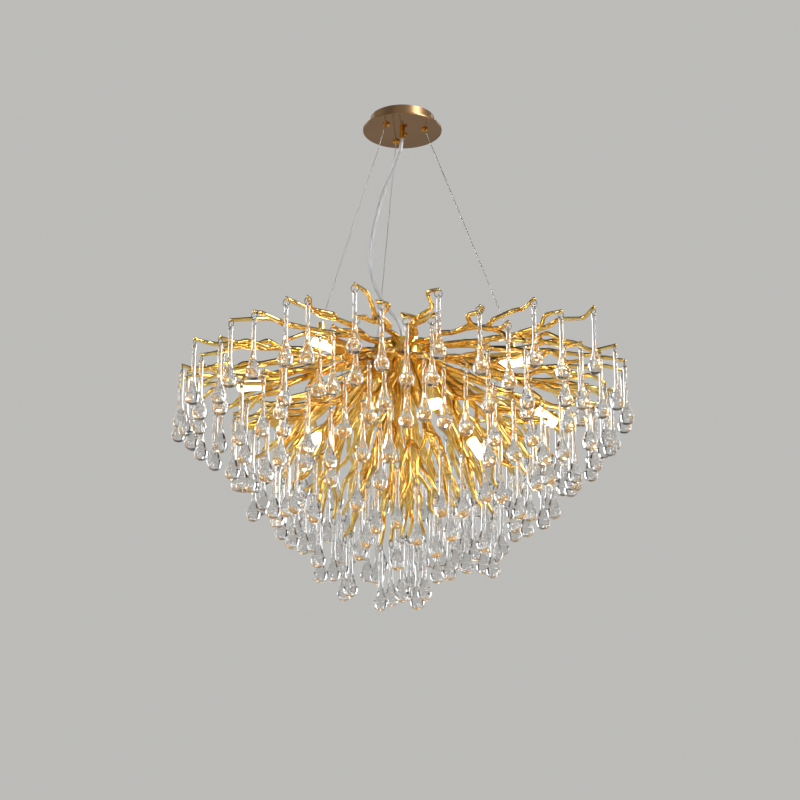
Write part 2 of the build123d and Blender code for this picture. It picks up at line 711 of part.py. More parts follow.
def make_floor(branches):
    plate = Pos(0, 0, drum_under - FLOOR_THICKNESS / 2) * Cylinder(HUB_RADIUS, FLOOR_THICKNESS)
    plate = plate.cut(*stem_holes(branches, 0)["floor"])
    for spot in post_spots(drum_under):
        plate -= spot * Cylinder(HUB_SCREW_RADIUS + FIT, 4 * FLOOR_THICKNESS)
    return plate


# --- lamps ---
# slot: bearing where the arm leaves the drum; row: its height; then where the cup's mouth
# stands and how far the lamp dips below level. Lamps 1 to 3 hang under the wire arms.
CUP_SPIGOT = 2.5
cup_radius = SOCKET_RADIUS + FIT + CUP_WALL
top_lamp_mouth = 176.0
top_lamp_spigot = top_lamp_mouth - CUP_LENGTH / 2
top_lamp_z = arm_z - ARM_HEIGHT / 2 - cup_radius
ARM_LAMPS = (
    {"slot": -179.0, "row": 2, "bearing": -172, "radius": 252, "z": -534, "dip": 6},
    {"slot": -136.0, "row": 4, "bearing": -136, "radius": 196, "z": -658, "dip": 38},
    {"slot": -78.5, "row": 3, "bearing": -76, "radius": 204, "z": -622, "dip": 14},
    {"slot": -37.8, "row": 4, "bearing": -37, "radius": 148, "z": -652, "dip": 55},
    {"slot": -11.0, "row": 3, "bearing": -14, "radius": 240, "z": -590, "dip": 38},
    {"slot": 101.5, "row": 3, "bearing": 101.5, "radius": 150, "z": -560, "dip": 30},
)


def lamp_frame(bearing, radius, z, dip):
    """X runs out of the cup's mouth, along the lamp; the origin is at the mouth."""
    turned = Location(place(bearing, radius, z), (0, 0, bearing))
    return turned * Location((0, 0, 0), (0, dip, 0))


def lamp_frames():
    frames = [lamp_frame(bearing, top_lamp_mouth, top_lamp_z, 0) for bearing in WIRE_BEARINGS]
    for lamp in ARM_LAMPS:
        frames.append(lamp_frame(lamp["bearing"], lamp["radius"], lamp["z"], lamp["dip"]))
    return frames


def along_x(start, end, radius):
    return rod((start, 0, 0), (end, 0, 0), radius)


def make_cup(hanging):
    """A brass cup open at its mouth, its back closed round the arm."""
    cup = along_x(-CUP_LENGTH, 0, cup_radius)
    cup -= along_x(-SOCKET_LENGTH - FIT, 1, SOCKET_RADIUS + FIT)
    if hanging:
        middle_x = -CUP_LENGTH / 2
        low, high = cup_radius - 0.4, cup_radius + ARM_HEIGHT
        return cup + rod((middle_x, 0, low), (middle_x, 0, high), CUP_SPIGOT)
    return cup - along_x(-CUP_LENGTH - 1, -SOCKET_LENGTH, LAMP_ARM_RADIUS + FIT)


def lamp_base(grow_by):
    length, width, depth = (size + 2 * grow_by for size in (LAMP_BASE[2], LAMP_BASE[0], LAMP_BASE[1]))
    return Pos(-LAMP_BASE[2] / 2, 0, 0) * Box(length, width, depth)


def make_socket():
    """A ceramic cylinder with a recess for the lamp's base and two pin holes."""
    socket = along_x(-SOCKET_LENGTH, 0, SOCKET_RADIUS) - lamp_base(LOOSE)
    for side in (-1, 1):
        hole = along_x(-LAMP_BASE[2] - PIN_LENGTH - 1, 0, PIN_RADIUS + LOOSE)
        socket -= Pos(0, side * PIN_SPREAD / 2, 0) * hole
    return socket


def make_lamp():
    """A capsule with a domed end, a flat base and two pins."""
    dome = 4.0
    lamp = along_x(LOOSE, LAMP_LENGTH, LAMP_RADIUS)
    lamp = fillet(lamp.faces().sort_by(Axis.X)[-1].edges(), dome)
    lamp += lamp_base(0) + Pos(LOOSE, 0, 0) * Box(2 * LOOSE, LAMP_BASE[0], LAMP_BASE[1])
    for side in (-1, 1):
        pin = along_x(-LAMP_BASE[2] - PIN_LENGTH, -LAMP_BASE[2] + 1, PIN_RADIUS)
        lamp += Pos(0, side * PIN_SPREAD / 2, 0) * pin
    return lamp


def make_lamp_arm(lamp):
    """A bent tube from the drum's wall to the back of its cup."""
    row = rows[lamp["row"]]
    frame = lamp_frame(lamp["bearing"], lamp["radius"], lamp["z"], lamp["dip"])
    back = tuple((frame * Pos(-SOCKET_LENGTH - LOOSE, 0, 0)).position)
    behind = tuple((frame * Pos(-CUP_LENGTH - 28, 0, 0)).position)
    lead = place(lamp["slot"], HUB_RADIUS + 14, row)
    root = place(lamp["slot"], HUB_RADIUS - HUB_WALL, row)
    way = between(lead, behind, 0.55)
    aside = place(lamp["slot"] + 90, 2.0, 0)
    way = (way[0] + aside[0], way[1] + aside[1], way[2] + 3.0)
    return tube([root, lead, way, behind, back], LAMP_ARM_RADIUS)


# --- writing the parts ---
# Drops that hang free on the outside swing one by one; the numbers are places in the list of tips.
SWINGING = (3, 5, 8, 9, 13, 14, 18, 20, 26, 27, 29, 33)
ZONES = {
    "rim": ("rim_front", "rim_back"),
    "shoulder": ("shoulder",),
    "inside": ("upper", "middle", "lower", "heart"),
}
written = []


def save(name, solids):
    solids = list(solids) if isinstance(solids, (list, tuple)) else [solids]
    loose = [solid for shape in solids for solid in shape.solids()]
    os.makedirs("parts", exist_ok=True)
    shape = loose[0] if len(loose) == 1 else Compound(loose)
    export_step(shape, f"parts/{name}.step", write_pcurves=False)
    written.append(name)


def all_branches():
    branches = plan_branches()
    spread(branches)
    for number, branch in enumerate(branches):
        grow(branch, number)
    return branches


def main():
    branches = all_branches()

    save("mounting_bracket", make_bracket())
    save("canopy_cover", make_canopy())
    save("canopy_screws", make_grub_screws())
    save("terminal_block", make_terminal_block())
    save("terminal_screws", make_terminal_screws())
    save("gripper_seats", [make_seat(b) for b in WIRE_BEARINGS])
    save("wire_grippers", [make_gripper(b) for b in WIRE_BEARINGS])
    for number, bearing in enumerate(WIRE_BEARINGS, 1):
        save(f"gripper_plunger_{number}", make_plunger(bearing))
    save("suspension_wires", [make_wire(b) for b in WIRE_BEARINGS])
    save("wire_ferrules", [make_ferrule(b) for b in WIRE_BEARINGS])
    save("cord_gland", make_gland())
    save("gland_nut", make_gland_nut())
    save("gland_screw", make_thumb_screw())
    save("power_cord", make_cord())
    save("cord_bush", make_bush())
    save("hub_top_plate", make_top_plate())
    save("hub_drum", make_drum(branches, ARM_LAMPS))
    save("hub_floor_plate", make_floor(branches))
    save("hub_posts", make_posts())
    save("hub_screws", make_hub_screws())
    save("suspension_arms", [make_arm(b) for b in WIRE_BEARINGS])

    frames = lamp_frames()
    save("lamp_arms", [make_lamp_arm(lamp) for lamp in ARM_LAMPS])
    save("lamp_cups", [frame * make_cup(k < 3) for k, frame in enumerate(frames)])
    socket = make_socket()
    save("lamp_sockets", [frame * socket for frame in frames])
    capsule = make_lamp()
    for number, frame in enumerate(frames, 1):
        save(f"lamp_{number}", frame * capsule)

    by_tier = {}
    for branch in branches:
        by_tier.setdefault(branch["tier"], []).append(branch)
    for name, group in by_tier.items():
        save(f"branches_{name}", [make_branch(branch) for branch in group])

    ring = make_ring()
    drop = make_drop()
    hang = 2 * RING_RADIUS
    tips = [(branch["tier"], tip) for branch in branches for tip in branch["tips"]]
    fixed = [(tier, tip) for number, (tier, tip) in enumerate(tips) if number not in SWINGING]
    for zone, tiers in ZONES.items():
        save(f"rings_{zone}", [at_tip(tip) * ring for tier, tip in tips if tier in tiers])
        save(f"drops_{zone}", [at_tip(tip, hang) * drop for tier, tip in fixed if tier in tiers])
    for count, number in enumerate(SWINGING, 1):
        save(f"swing_drop_{count:02d}", at_tip(tips[number][1], hang) * drop)
    print(len(written), "nodes,", len(branches), "branches,", len(tips), "tips")


if __name__ == "__main__":
    main()
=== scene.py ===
import random
from itertools import combinations
from math import atan2, cos, exp, hypot, pi, radians, sin

import bpy
import bmesh
from mathutils import Matrix, Vector


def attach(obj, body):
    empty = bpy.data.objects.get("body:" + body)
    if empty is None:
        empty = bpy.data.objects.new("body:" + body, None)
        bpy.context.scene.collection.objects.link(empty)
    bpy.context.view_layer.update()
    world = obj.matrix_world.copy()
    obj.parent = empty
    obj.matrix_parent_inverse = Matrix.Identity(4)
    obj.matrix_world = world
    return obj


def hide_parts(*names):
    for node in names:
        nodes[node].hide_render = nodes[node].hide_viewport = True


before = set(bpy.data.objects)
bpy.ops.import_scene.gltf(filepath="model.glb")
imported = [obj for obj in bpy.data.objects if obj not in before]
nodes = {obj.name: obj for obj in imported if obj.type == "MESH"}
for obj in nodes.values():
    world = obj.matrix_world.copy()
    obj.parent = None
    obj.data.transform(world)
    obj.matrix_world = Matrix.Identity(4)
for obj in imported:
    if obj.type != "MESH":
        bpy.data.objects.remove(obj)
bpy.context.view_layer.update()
print("frame loaded:", len(nodes), "nodes")

mm = 0.001

# the photograph looks up at the fixture from below; its frame is 800 pixels square
camera = {
    "x": -0.0044,
    "distance": 3.1,
    "height": -1.557,
    "pitchUp": 18.0,
    "focalPixels": 1842.0,
    "framePixels": 800.0,
    "sensorMm": 36.0,
}
cameraData = bpy.data.cameras.new("camera")
cameraData.sensor_width = camera["sensorMm"]
cameraData.lens = camera["focalPixels"] * camera["sensorMm"] / camera["framePixels"]
cameraObject = bpy.data.objects.new("camera", cameraData)
bpy.context.scene.collection.objects.link(cameraObject)
cameraObject.location = (camera["x"], -camera["distance"], camera["height"])
cameraObject.rotation_euler = (radians(90 + camera["pitchUp"]), 0, 0)
bpy.context.scene.camera = cameraObject


def linear(hexColour):
    channels = [int(hexColour[k : k + 2], 16) / 255 for k in (1, 3, 5)]
    return [c / 12.92 if c <= 0.04045 else ((c + 0.055) / 1.055) ** 2.4 for c in channels] + [1.0]


# a Mix node's colour sockets have no names of their own, only numbers
darkSocket, lightSocket, mixedOut = 6, 7, 2


def addNode(tree, kind, settings=None, links=None):
    node = tree.nodes.new(kind)
    for name, value in (settings or {}).items():
        if isinstance(name, int) or name in node.inputs:
            node.inputs[name].default_value = value
        else:
            setattr(node, name, value)
    for name, source in (links or {}).items():
        tree.links.new(source, node.inputs[name])
    return node


def newMaterial(name):
    material = bpy.data.materials.new(name)
    material.use_nodes = True
    tree = material.node_tree
    return material, tree, tree.nodes["Principled BSDF"]


def setSockets(shader, settings):
    for name, value in settings.items():
        shader.inputs[name].default_value = value


def newPiece(name, verts, faces, materials, faceMaterials=None):
    mesh = bpy.data.meshes.new(name)
    mesh.from_pydata([tuple(v) for v in verts], [], faces)
    for material in materials:
        mesh.materials.append(material)
    if faceMaterials:
        mesh.polygons.foreach_set("material_index", faceMaterials)
    mesh.shade_smooth()
    mesh.update()
    piece = bpy.data.objects.new(name, mesh)
    bpy.context.scene.collection.objects.link(piece)
    return piece


# cast brass twigs, plated and polished: a warm mirror with slow waves left from the hand finishing
goldLook = {
    "colour": "#FFE18E",
    "deep": "#EEC263",
    "roughness": 0.15,
    "brighter": 0.05,
    "duller": 0.09,
    "waveMm": 22.0,
    "waveDepth": 0.0006,
    "waveStrength": 0.25,
    "pitMm": 1.4,
}


def makeGold():
    material, tree, shader = newMaterial("polished_gold_plate")
    surface = addNode(tree, "ShaderNodeTexCoord").outputs["Object"]
    waveSettings = {"Scale": 1000 / goldLook["waveMm"], "Detail": 2.0}
    waves = addNode(tree, "ShaderNodeTexNoise", waveSettings, {"Vector": surface}).outputs["Fac"]
    pitSettings = {"Scale": 1000 / goldLook["pitMm"], "Detail": 3.0}
    pits = addNode(tree, "ShaderNodeTexNoise", pitSettings, {"Vector": surface}).outputs["Fac"]
    spread = addNode(tree, "ShaderNodeMapRange", {"From Min": 0.35, "From Max": 0.65}, {"Value": waves})
    tint = addNode(
        tree,
        "ShaderNodeMix",
        {"data_type": "RGBA", darkSocket: linear(goldLook["deep"]), lightSocket: linear(goldLook["colour"])},
        {"Factor": spread.outputs["Result"]},
    )
    low, high = goldLook["roughness"] - goldLook["brighter"], goldLook["roughness"] + goldLook["duller"]
    gloss = addNode(
        tree,
        "ShaderNodeMapRange",
        {"From Min": 0.3, "From Max": 0.7, "To Min": low, "To Max": high},
        {"Value": pits},
    )
    bump = addNode(
        tree,
        "ShaderNodeBump",
        {"Strength": goldLook["waveStrength"], "Distance": goldLook["waveDepth"]},
        {"Height": waves},
    )
    tree.links.new(tint.outputs[mixedOut], shader.inputs["Base Color"])
    tree.links.new(gloss.outputs["Result"], shader.inputs["Roughness"])
    tree.links.new(bump.outputs["Normal"], shader.inputs["Normal"])
    setSockets(shader, {"Metallic": 1.0})
    return material


# turned brass under a thin gold lacquer: fine rings from the lathe
# a real lathe leaves them 0.1 mm apart, too fine to show, so they are drawn coarser
brassLook = {"colour": "#D9A244", "ringMm": 1.6, "smooth": 0.2, "rough": 0.34}


def makeTurnedBrass():
    material, tree, shader = newMaterial("turned_brass")
    surface = addNode(tree, "ShaderNodeTexCoord").outputs["Object"]
    rings = addNode(
        tree,
        "ShaderNodeTexWave",
        {"Scale": 1000 / brassLook["ringMm"], "Distortion": 0.6, "bands_direction": "Z"},
        {"Vector": surface},
    ).outputs["Fac"]
    bump = addNode(tree, "ShaderNodeBump", {"Strength": 0.12, "Distance": 0.0002}, {"Height": rings})
    limits = {"To Min": brassLook["smooth"], "To Max": brassLook["rough"]}
    gloss = addNode(tree, "ShaderNodeMapRange", limits, {"Value": rings})
    tree.links.new(bump.outputs["Normal"], shader.inputs["Normal"])
    tree.links.new(gloss.outputs["Result"], shader.inputs["Roughness"])
    setSockets(shader, {"Base Color": linear(brassLook["colour"]), "Metallic": 1.0})
    return material


# spun steel with a satin champagne lacquer: brushed round its axis, so the sheen runs in rings
# the flat underside is polished further, and mirrors the fittings
champagneLook = {
    "colour": "#B08B66",
    "dark": "#957351",
    "grainMm": 0.9,
    "cloudMm": 111.111,
    "roughness": 0.28,
    "rougher": 0.14,
    "polished": 0.11,
}


def makeChampagne():
    material, tree, shader = newMaterial("brushed_champagne_lacquer")
    place = addNode(tree, "ShaderNodeTexCoord")
    surface = place.outputs["Object"]
    parts = addNode(tree, "ShaderNodeSeparateXYZ", {}, {"Vector": surface})
    flat = addNode(tree, "ShaderNodeCombineXYZ", {}, {"X": parts.outputs["X"], "Y": parts.outputs["Y"]})
    fromAxis = addNode(
        tree, "ShaderNodeVectorMath", {"operation": "LENGTH"}, {"Vector": flat.outputs["Vector"]}
    )
    along = addNode(
        tree, "ShaderNodeMath", {"operation": "ADD"}, {0: fromAxis.outputs["Value"], 1: parts.outputs["Z"]}
    )
    cloudSettings = {"Scale": 1000 / champagneLook["cloudMm"], "Detail": 1.0}
    clouds = addNode(tree, "ShaderNodeTexNoise", cloudSettings, {"Vector": surface})
    grain = addNode(
        tree,
        "ShaderNodeTexNoise",
        {"noise_dimensions": "1D", "Scale": 1000 / champagneLook["grainMm"], "Detail": 4.0},
        {"W": along.outputs["Value"]},
    ).outputs["Fac"]
    dark, light = linear(champagneLook["dark"]), linear(champagneLook["colour"])
    tint = addNode(
        tree,
        "ShaderNodeMix",
        {"data_type": "RGBA", darkSocket: dark, lightSocket: light},
        {"Factor": clouds.outputs["Fac"]},
    )
    bump = addNode(tree, "ShaderNodeBump", {"Strength": 0.1, "Distance": 0.0002}, {"Height": grain})
    low = champagneLook["roughness"]
    limits = {"To Min": low, "To Max": low + champagneLook["rougher"]}
    gloss = addNode(tree, "ShaderNodeMapRange", limits, {"Value": grain})
    facing = addNode(tree, "ShaderNodeSeparateXYZ", {}, {"Vector": place.outputs["Normal"]})
    under = addNode(
        tree, "ShaderNodeMapRange", {"From Min": -0.5, "From Max": -0.9}, {"Value": facing.outputs["Z"]}
    )
    finish = addNode(
        tree,
        "ShaderNodeMix",
        {"data_type": "FLOAT", "B": champagneLook["polished"]},
        {"Factor": under.outputs["Result"], "A": gloss.outputs["Result"]},
    )
    tree.links.new(tint.outputs[mixedOut], shader.inputs["Base Color"])
    tree.links.new(finish.outputs["Result"], shader.inputs["Roughness"])
    tree.links.new(bump.outputs["Normal"], shader.inputs["Normal"])
    setSockets(shader, {"Metallic": 1.0})
    return material


# drawn or plated steel: smooth, with a fine unevenness that breaks up its sheen
steelLook = {"grainMm": 1.11111, "brighter": 0.06, "duller": 0.08}


def makeSteel(name, colour, roughness):
    material, tree, shader = newMaterial(name)
    surface = addNode(tree, "ShaderNodeTexCoord").outputs["Object"]
    grainSettings = {"Scale": 1000 / steelLook["grainMm"], "Detail": 2.0}
    grain = addNode(tree, "ShaderNodeTexNoise", grainSettings, {"Vector": surface})
    limits = {"To Min": roughness - steelLook["brighter"], "To Max": roughness + steelLook["duller"]}
    gloss = addNode(tree, "ShaderNodeMapRange", limits, {"Value": grain.outputs["Fac"]})
    tree.links.new(gloss.outputs["Result"], shader.inputs["Roughness"])
    setSockets(shader, {"Base Color": linear(colour), "Metallic": 1.0})
    return material


# clear lead-free crystal, pressed and fire polished: no colour, a faint unevenness in the skin
crystalLook = {"colour": "#FFFFFF", "ior": 1.52, "waveMm": 9.0, "waveDepth": 0.0004, "waveStrength": 0.08}


def makeCrystal():
    material, tree, shader = newMaterial("clear_crystal_glass")
    surface = addNode(tree, "ShaderNodeTexCoord").outputs["Object"]
    waveSettings = {"Scale": 1000 / crystalLook["waveMm"], "Detail": 1.0}
    waves = addNode(tree, "ShaderNodeTexNoise", waveSettings, {"Vector": surface})
    bump = addNode(
        tree,
        "ShaderNodeBump",
        {"Strength": crystalLook["waveStrength"], "Distance": crystalLook["waveDepth"]},
        {"Height": waves.outputs["Fac"]},
    )
    tree.links.new(bump.outputs["Normal"], shader.inputs["Normal"])
    setSockets(shader, {"Base Color": linear(crystalLook["colour"]), "Roughness": 0.0})
    setSockets(shader, {"IOR": crystalLook["ior"], "Transmission Weight": 1.0})
    return material


# clear plasticised PVC sheath, extruded: glassy, with a slight haze
sheathLook = {"colour": "#F8F9FA", "ior": 1.53, "clear": 0.7, "hazeMm": 6.0, "smooth": 0.04, "rough": 0.16}


def makeClearSheath():
    material, tree, shader = newMaterial("clear_pvc_sheath")
    surface = addNode(tree, "ShaderNodeTexCoord").outputs["Object"]
    haze = addNode(tree, "ShaderNodeTexNoise", {"Scale": 1000 / sheathLook["hazeMm"]}, {"Vector": surface})
    limits = {"To Min": sheathLook["smooth"], "To Max": sheathLook["rough"]}
    gloss = addNode(tree, "ShaderNodeMapRange", limits, {"Value": haze.outputs["Fac"]})
    tree.links.new(gloss.outputs["Result"], shader.inputs["Roughness"])
    setSockets(shader, {"Base Color": linear(sheathLook["colour"]), "IOR": sheathLook["ior"]})
    setSockets(shader, {"Transmission Weight": sheathLook["clear"]})
    return material


# tinned copper braid on the cores: bright grey with a fine twist
coreLook = {"colour": "#EDEEF0", "metallic": 0.7, "roughness": 0.34, "strandMm": 0.8}


def makeTinnedCore():
    material, tree, shader = newMaterial("tinned_copper_core")
    surface = addNode(tree, "ShaderNodeTexCoord").outputs["Object"]
    twistSettings = {"Scale": 1000 / coreLook["strandMm"], "Detail": 2.0}
    twist = addNode(tree, "ShaderNodeTexNoise", twistSettings, {"Vector": surface}).outputs["Fac"]
    bump = addNode(tree, "ShaderNodeBump", {"Strength": 0.4, "Distance": 0.0002}, {"Height": twist})
    tree.links.new(bump.outputs["Normal"], shader.inputs["Normal"])
    setSockets(shader, {"Base Color": linear(coreLook["colour"]), "Metallic": coreLook["metallic"]})
    setSockets(shader, {"Roughness": coreLook["roughness"]})
    return material


# frosted capsule glass, lit from inside: warm white, slightly cloudy
capsuleLook = {"warm": "#FFE3B4", "white": "#FFEFD2", "cloudMm": 14.0, "roughness": 0.45, "brightness": 15.0}


def makeLitCapsule():
    material, tree, shader = newMaterial("frosted_lit_capsule")
    surface = addNode(tree, "ShaderNodeTexCoord").outputs["Object"]
    cloud = addNode(tree, "ShaderNodeTexNoise", {"Scale": 1000 / capsuleLook["cloudMm"]}, {"Vector": surface})
    warm, white = linear(capsuleLook["warm"]), linear(capsuleLook["white"])
    tint = addNode(
        tree,
        "ShaderNodeMix",
        {"data_type": "RGBA", darkSocket: warm, lightSocket: white},
        {"Factor": cloud.outputs["Fac"]},
    )
    tree.links.new(tint.outputs[mixedOut], shader.inputs["Base Color"])
    tree.links.new(tint.outputs[mixedOut], shader.inputs["Emission Color"])
    setSockets(shader, {"Roughness": capsuleLook["roughness"]})
    setSockets(shader, {"Emission Strength": capsuleLook["brightness"]})
    return material


# white steatite: fine-grained unglazed ceramic
steatiteLook = {"dark": "#D8D2C4", "light": "#EFEBE0", "grainMm": 0.9, "roughness": 0.62}


def makeSteatite():
    material, tree, shader = newMaterial("white_steatite")
    surface = addNode(tree, "ShaderNodeTexCoord").outputs["Object"]
    grainSettings = {"Scale": 1000 / steatiteLook["grainMm"], "Detail": 3.0}
    grain = addNode(tree, "ShaderNodeTexNoise", grainSettings, {"Vector": surface}).outputs["Fac"]
    bump = addNode(tree, "ShaderNodeBump", {"Strength": 0.2, "Distance": 0.0002}, {"Height": grain})
    dark, light = linear(steatiteLook["dark"]), linear(steatiteLook["light"])
    tint = addNode(
        tree,
        "ShaderNodeMix",
        {"data_type": "RGBA", darkSocket: dark, lightSocket: light},
        {"Factor": grain},
    )
    tree.links.new(tint.outputs[mixedOut], shader.inputs["Base Color"])
    tree.links.new(bump.outputs["Normal"], shader.inputs["Normal"])
    setSockets(shader, {"Roughness": steatiteLook["roughness"]})
    return material


# moulded nylon, faintly grained by its mould
nylonLook = {"colour": "#E6E4DC", "grainMm": 0.6, "roughness": 0.42}


def makeNylon():
    material, tree, shader = newMaterial("moulded_nylon")
    surface = addNode(tree, "ShaderNodeTexCoord").outputs["Object"]
    grain = addNode(tree, "ShaderNodeTexNoise", {"Scale": 1000 / nylonLook["grainMm"]}, {"Vector": surface})
    bump = addNode(
        tree, "ShaderNodeBump", {"Strength": 0.15, "Distance": 0.0001}, {"Height": grain.outputs["Fac"]}
    )
    tree.links.new(bump.outputs["Normal"], shader.inputs["Normal"])
    setSockets(shader, {"Base Color": linear(nylonLook["colour"]), "Roughness": nylonLook["roughness"]})
    return material


gold = makeGold()
brass = makeTurnedBrass()
champagne = makeChampagne()
steelWire = makeSteel("drawn_steel_wire", "#B9B8B4", 0.28)
zinc = makeSteel("zinc_plated_steel", "#A9AAA8", 0.4)
ringSteel = makeSteel("burnished_steel_ring", "#6F6B64", 0.3)
crystal = makeCrystal()
sheath = makeClearSheath()
tinnedCore = makeTinnedCore()
litCapsule = makeLitCapsule()
steatite = makeSteatite()
nylon = makeNylon()

# the CAD pieces whose shape stays, with what each is made of
finishes = {
    "canopy_cover": champagne,
    "mounting_bracket": zinc,
    "canopy_screws": brass,
    "terminal_block": nylon,
    "terminal_screws": zinc,
    "gripper_seats": brass,
    "wire_grippers": brass,
    "gripper_plunger_1": brass,
    "gripper_plunger_2": brass,
    "gripper_plunger_3": brass,
    "wire_ferrules": gold,
    "cord_gland": brass,
    "gland_nut": brass,
    "gland_screw": brass,
    "cord_bush": brass,
    "hub_top_plate": gold,
    "hub_drum": gold,
    "hub_floor_plate": gold,
    "hub_posts": zinc,
    "hub_screws": brass,
    "suspension_arms": gold,
    "lamp_arms": gold,
    "lamp_cups": brass,
    "lamp_sockets": steatite,
}
for name, material in finishes.items():
    nodes[name].data.materials.clear()
    nodes[name].data.materials.append(material)
print("materials made:", len(bpy.data.materials))


def roundedPath(points, samples, share=0.45):
    # straight runs with a smooth bend at each corner
    path = [points[0]]
    for before, corner, after in zip(points, points[1:], points[2:]):
        reach = share * min((corner - before).length, (after - corner).length)
        enter = corner + (before - corner).normalized() * reach
        leave = corner + (after - corner).normalized() * reach
        for k in range(samples + 1):
            t = k / samples
            path.append(enter * (1 - t) ** 2 + corner * 2 * t * (1 - t) + leave * t * t)
    path.append(points[-1])
    return path


def lengths(path):
    total, marks = 0.0, [0.0]
    for a, b in zip(path, path[1:]):
        total += (b - a).length
        marks.append(total)
    return marks


def addTube(shape, path, radii, sides, domes=(True, True)):
    # a tube whose cross-section doesn't twist; its ends close as domes or flat
    verts, faces = shape
    if domes[0]:
        way = (path[1] - path[0]).normalized()
        path = [path[0] - way * radii[0] * 0.95, path[0] - way * radii[0] * 0.6] + path
        radii = [radii[0] * 0.3, radii[0] * 0.8] + radii
    if domes[1]:
        way = (path[-1] - path[-2]).normalized()
        path = path + [path[-1] + way * radii[-1] * 0.6, path[-1] + way * radii[-1] * 0.95]
        radii = radii + [radii[-1] * 0.8, radii[-1] * 0.3]
    tangent = (path[1] - path[0]).normalized()
    across = tangent.orthogonal().normalized()
    first = len(verts)
    for k, centre in enumerate(path):
        ahead = path[min(k + 1, len(path) - 1)] - path[max(k - 1, 0)]
        tangent = ahead.normalized()
        across = (across - tangent * across.dot(tangent)).normalized()
        beside = tangent.cross(across)
        for j in range(sides):
            turn = 2 * pi * j / sides
            verts.append(centre + (across * cos(turn) + beside * sin(turn)) * radii[k])
    rows = len(path)
    for k in range(rows - 1):
        for j in range(sides):
            a, b = first + k * sides + j, first + k * sides + (j + 1) % sides
            faces.append((a, b, b + sides, a + sides))
    faces.append(tuple(first + j for j in reversed(range(sides))))
    faces.append(tuple(first + (rows - 1) * sides + j for j in range(sides)))


def toMetres(shape):
    return [v * mm for v in shape[0]], shape[1]


# the branches follow the CAD part's plan, in millimetres, with its seeds and its order of draws
hub = {"radius": 46.0, "wall": 5.0, "topPlateUnder": -450.0, "floorUnder": -522.0, "floor": 4.0}
holes = {"first": 7.0, "pitch": 12.0, "rows": 5}  # the rows of bores in the drum
rows = [hub["topPlateUnder"] - holes["first"] - holes["pitch"] * k for k in range(holes["rows"])]
drop = {
    "bulb": 13.0,
    "length": 108.0,
    "headThick": 4.4,
    "pinchFrom": 2.0,
    "pinchLength": 9.0,
    "gap": 10.0,
    "eye": 2.0,
    "eyeWear": 0.2,
    "sides": 26,
}
branch = {
    "rim": 400.0,
    "rimZ": -490.0,
    "lowestZ": -830.0,
    "bowl": 1.45,
    "sink": 12.0,
    "lift": 46.0,
    "sway": 7.0,
    "fork": 0.36,
    "laterFork": 0.12,
    "lead": 15.0,
    "limbShare": 0.42,
    "runPerBend": 42,
    "outerShare": 0.9,
    "spreadRounds": 40,
}

frontRim = (
    (-176, ((-169, 380), (-179, 372), (-163, 362), (-174, 388))),
    (-153, ((-143, 378), (-152, 396), (-157, 364), (-148, 354))),
    (-121, ((-135, 396), (-128, 390), (-122, 358))),
    (-112, ((-113, 388), (-108, 360), (-118, 394))),
    (-100, ((-101, 396), (-95, 374), (-102, 358))),
    (-86, ((-89, 360), (-82, 394), (-83, 356))),
    (-61, ((-58, 396), (-63, 358), (-56, 356), (-71, 376))),
    (-42, ((-45, 372), (-37, 366), (-39, 404), (-49, 392))),
    (-26, ((-29, 376), (-21, 388), (-30, 344))),
    (-3, ((-11, 358), (3, 362), (-4, 388), (-13, 394))),
)
backRim = {"slots": 7, "first": 17.0, "last": 170.0, "inner": 352.0, "outer": 398.0, "tips": 4}
tiers = {
    "shoulder": {"slots": 12, "first": 1.0, "inner": 292.0, "outer": 346.0, "tips": 5},
    "upper": {"slots": 16, "first": -11.0, "inner": 212.0, "outer": 284.0, "tips": 4},
    "middle": {"slots": 11, "first": -136.0, "inner": 140.0, "outer": 200.0, "tips": 3},
    "lower": {"slots": 5, "first": -78.0, "inner": 76.0, "outer": 122.0, "tips": 2},
    "heart": {"slots": 3, "first": -60.0, "inner": 18.0, "outer": 56.0, "tips": 2},
}
lampSlots = {"shoulder": (6,), "upper": (0, 5, 13), "middle": (0, 3)}
twigSway = {"rim_front": 13.0, "rim_back": 12.0, "shoulder": 9.0}
fans = {
    2: ((-0.25, 0.25), (0.25, 0.75)),
    3: ((-0.31, 0.12), (-0.02, 0.88), (0.31, 0.30)),
    4: ((-0.36, 0.10), (-0.12, 0.85), (0.12, 0.18), (0.36, 0.92)),
    5: ((-0.40, 0.15), (-0.21, 0.90), (-0.01, 0.10), (0.19, 0.85), (0.39, 0.20)),
}
forks = {2: (0, 2), 3: (0, 2, 3), 4: (0, 2, 4), 5: (0, 2, 3, 5)}


def place(bearing, radius, z):
    return (radius * cos(radians(bearing)), radius * sin(radians(bearing)), z)


def fanTips(bearing, width, tier, rng):
    tips = []
    for across, out in fans[tier["tips"]]:
        tipBearing = bearing + across * width + rng.uniform(-1, 1)
        radius = tier["inner"] + out * (tier["outer"] - tier["inner"]) + rng.uniform(-6, 6)
        tips.append((tipBearing, radius))
    return tips


def planBranches():
    rng = random.Random(5)
    found = [{"tier": "rim_front", "bearing": bearing, "tips": list(tips)} for bearing, tips in frontRim]
    step = (backRim["last"] - backRim["first"]) / (backRim["slots"] - 1)
    for slot in range(backRim["slots"]):
        bearing = backRim["first"] + slot * step
        tips = fanTips(bearing, step * 0.9, backRim, rng)
        found.append({"tier": "rim_back", "bearing": bearing, "tips": tips})
    for name, tier in tiers.items():
        width = 360 / tier["slots"]
        for slot in range(tier["slots"]):
            bearing = tier["first"] + slot * width
            tips = fanTips(bearing, width, tier, rng)
            if slot not in lampSlots.get(name, ()):
                found.append({"tier": name, "bearing": bearing, "tips": tips})
    return found


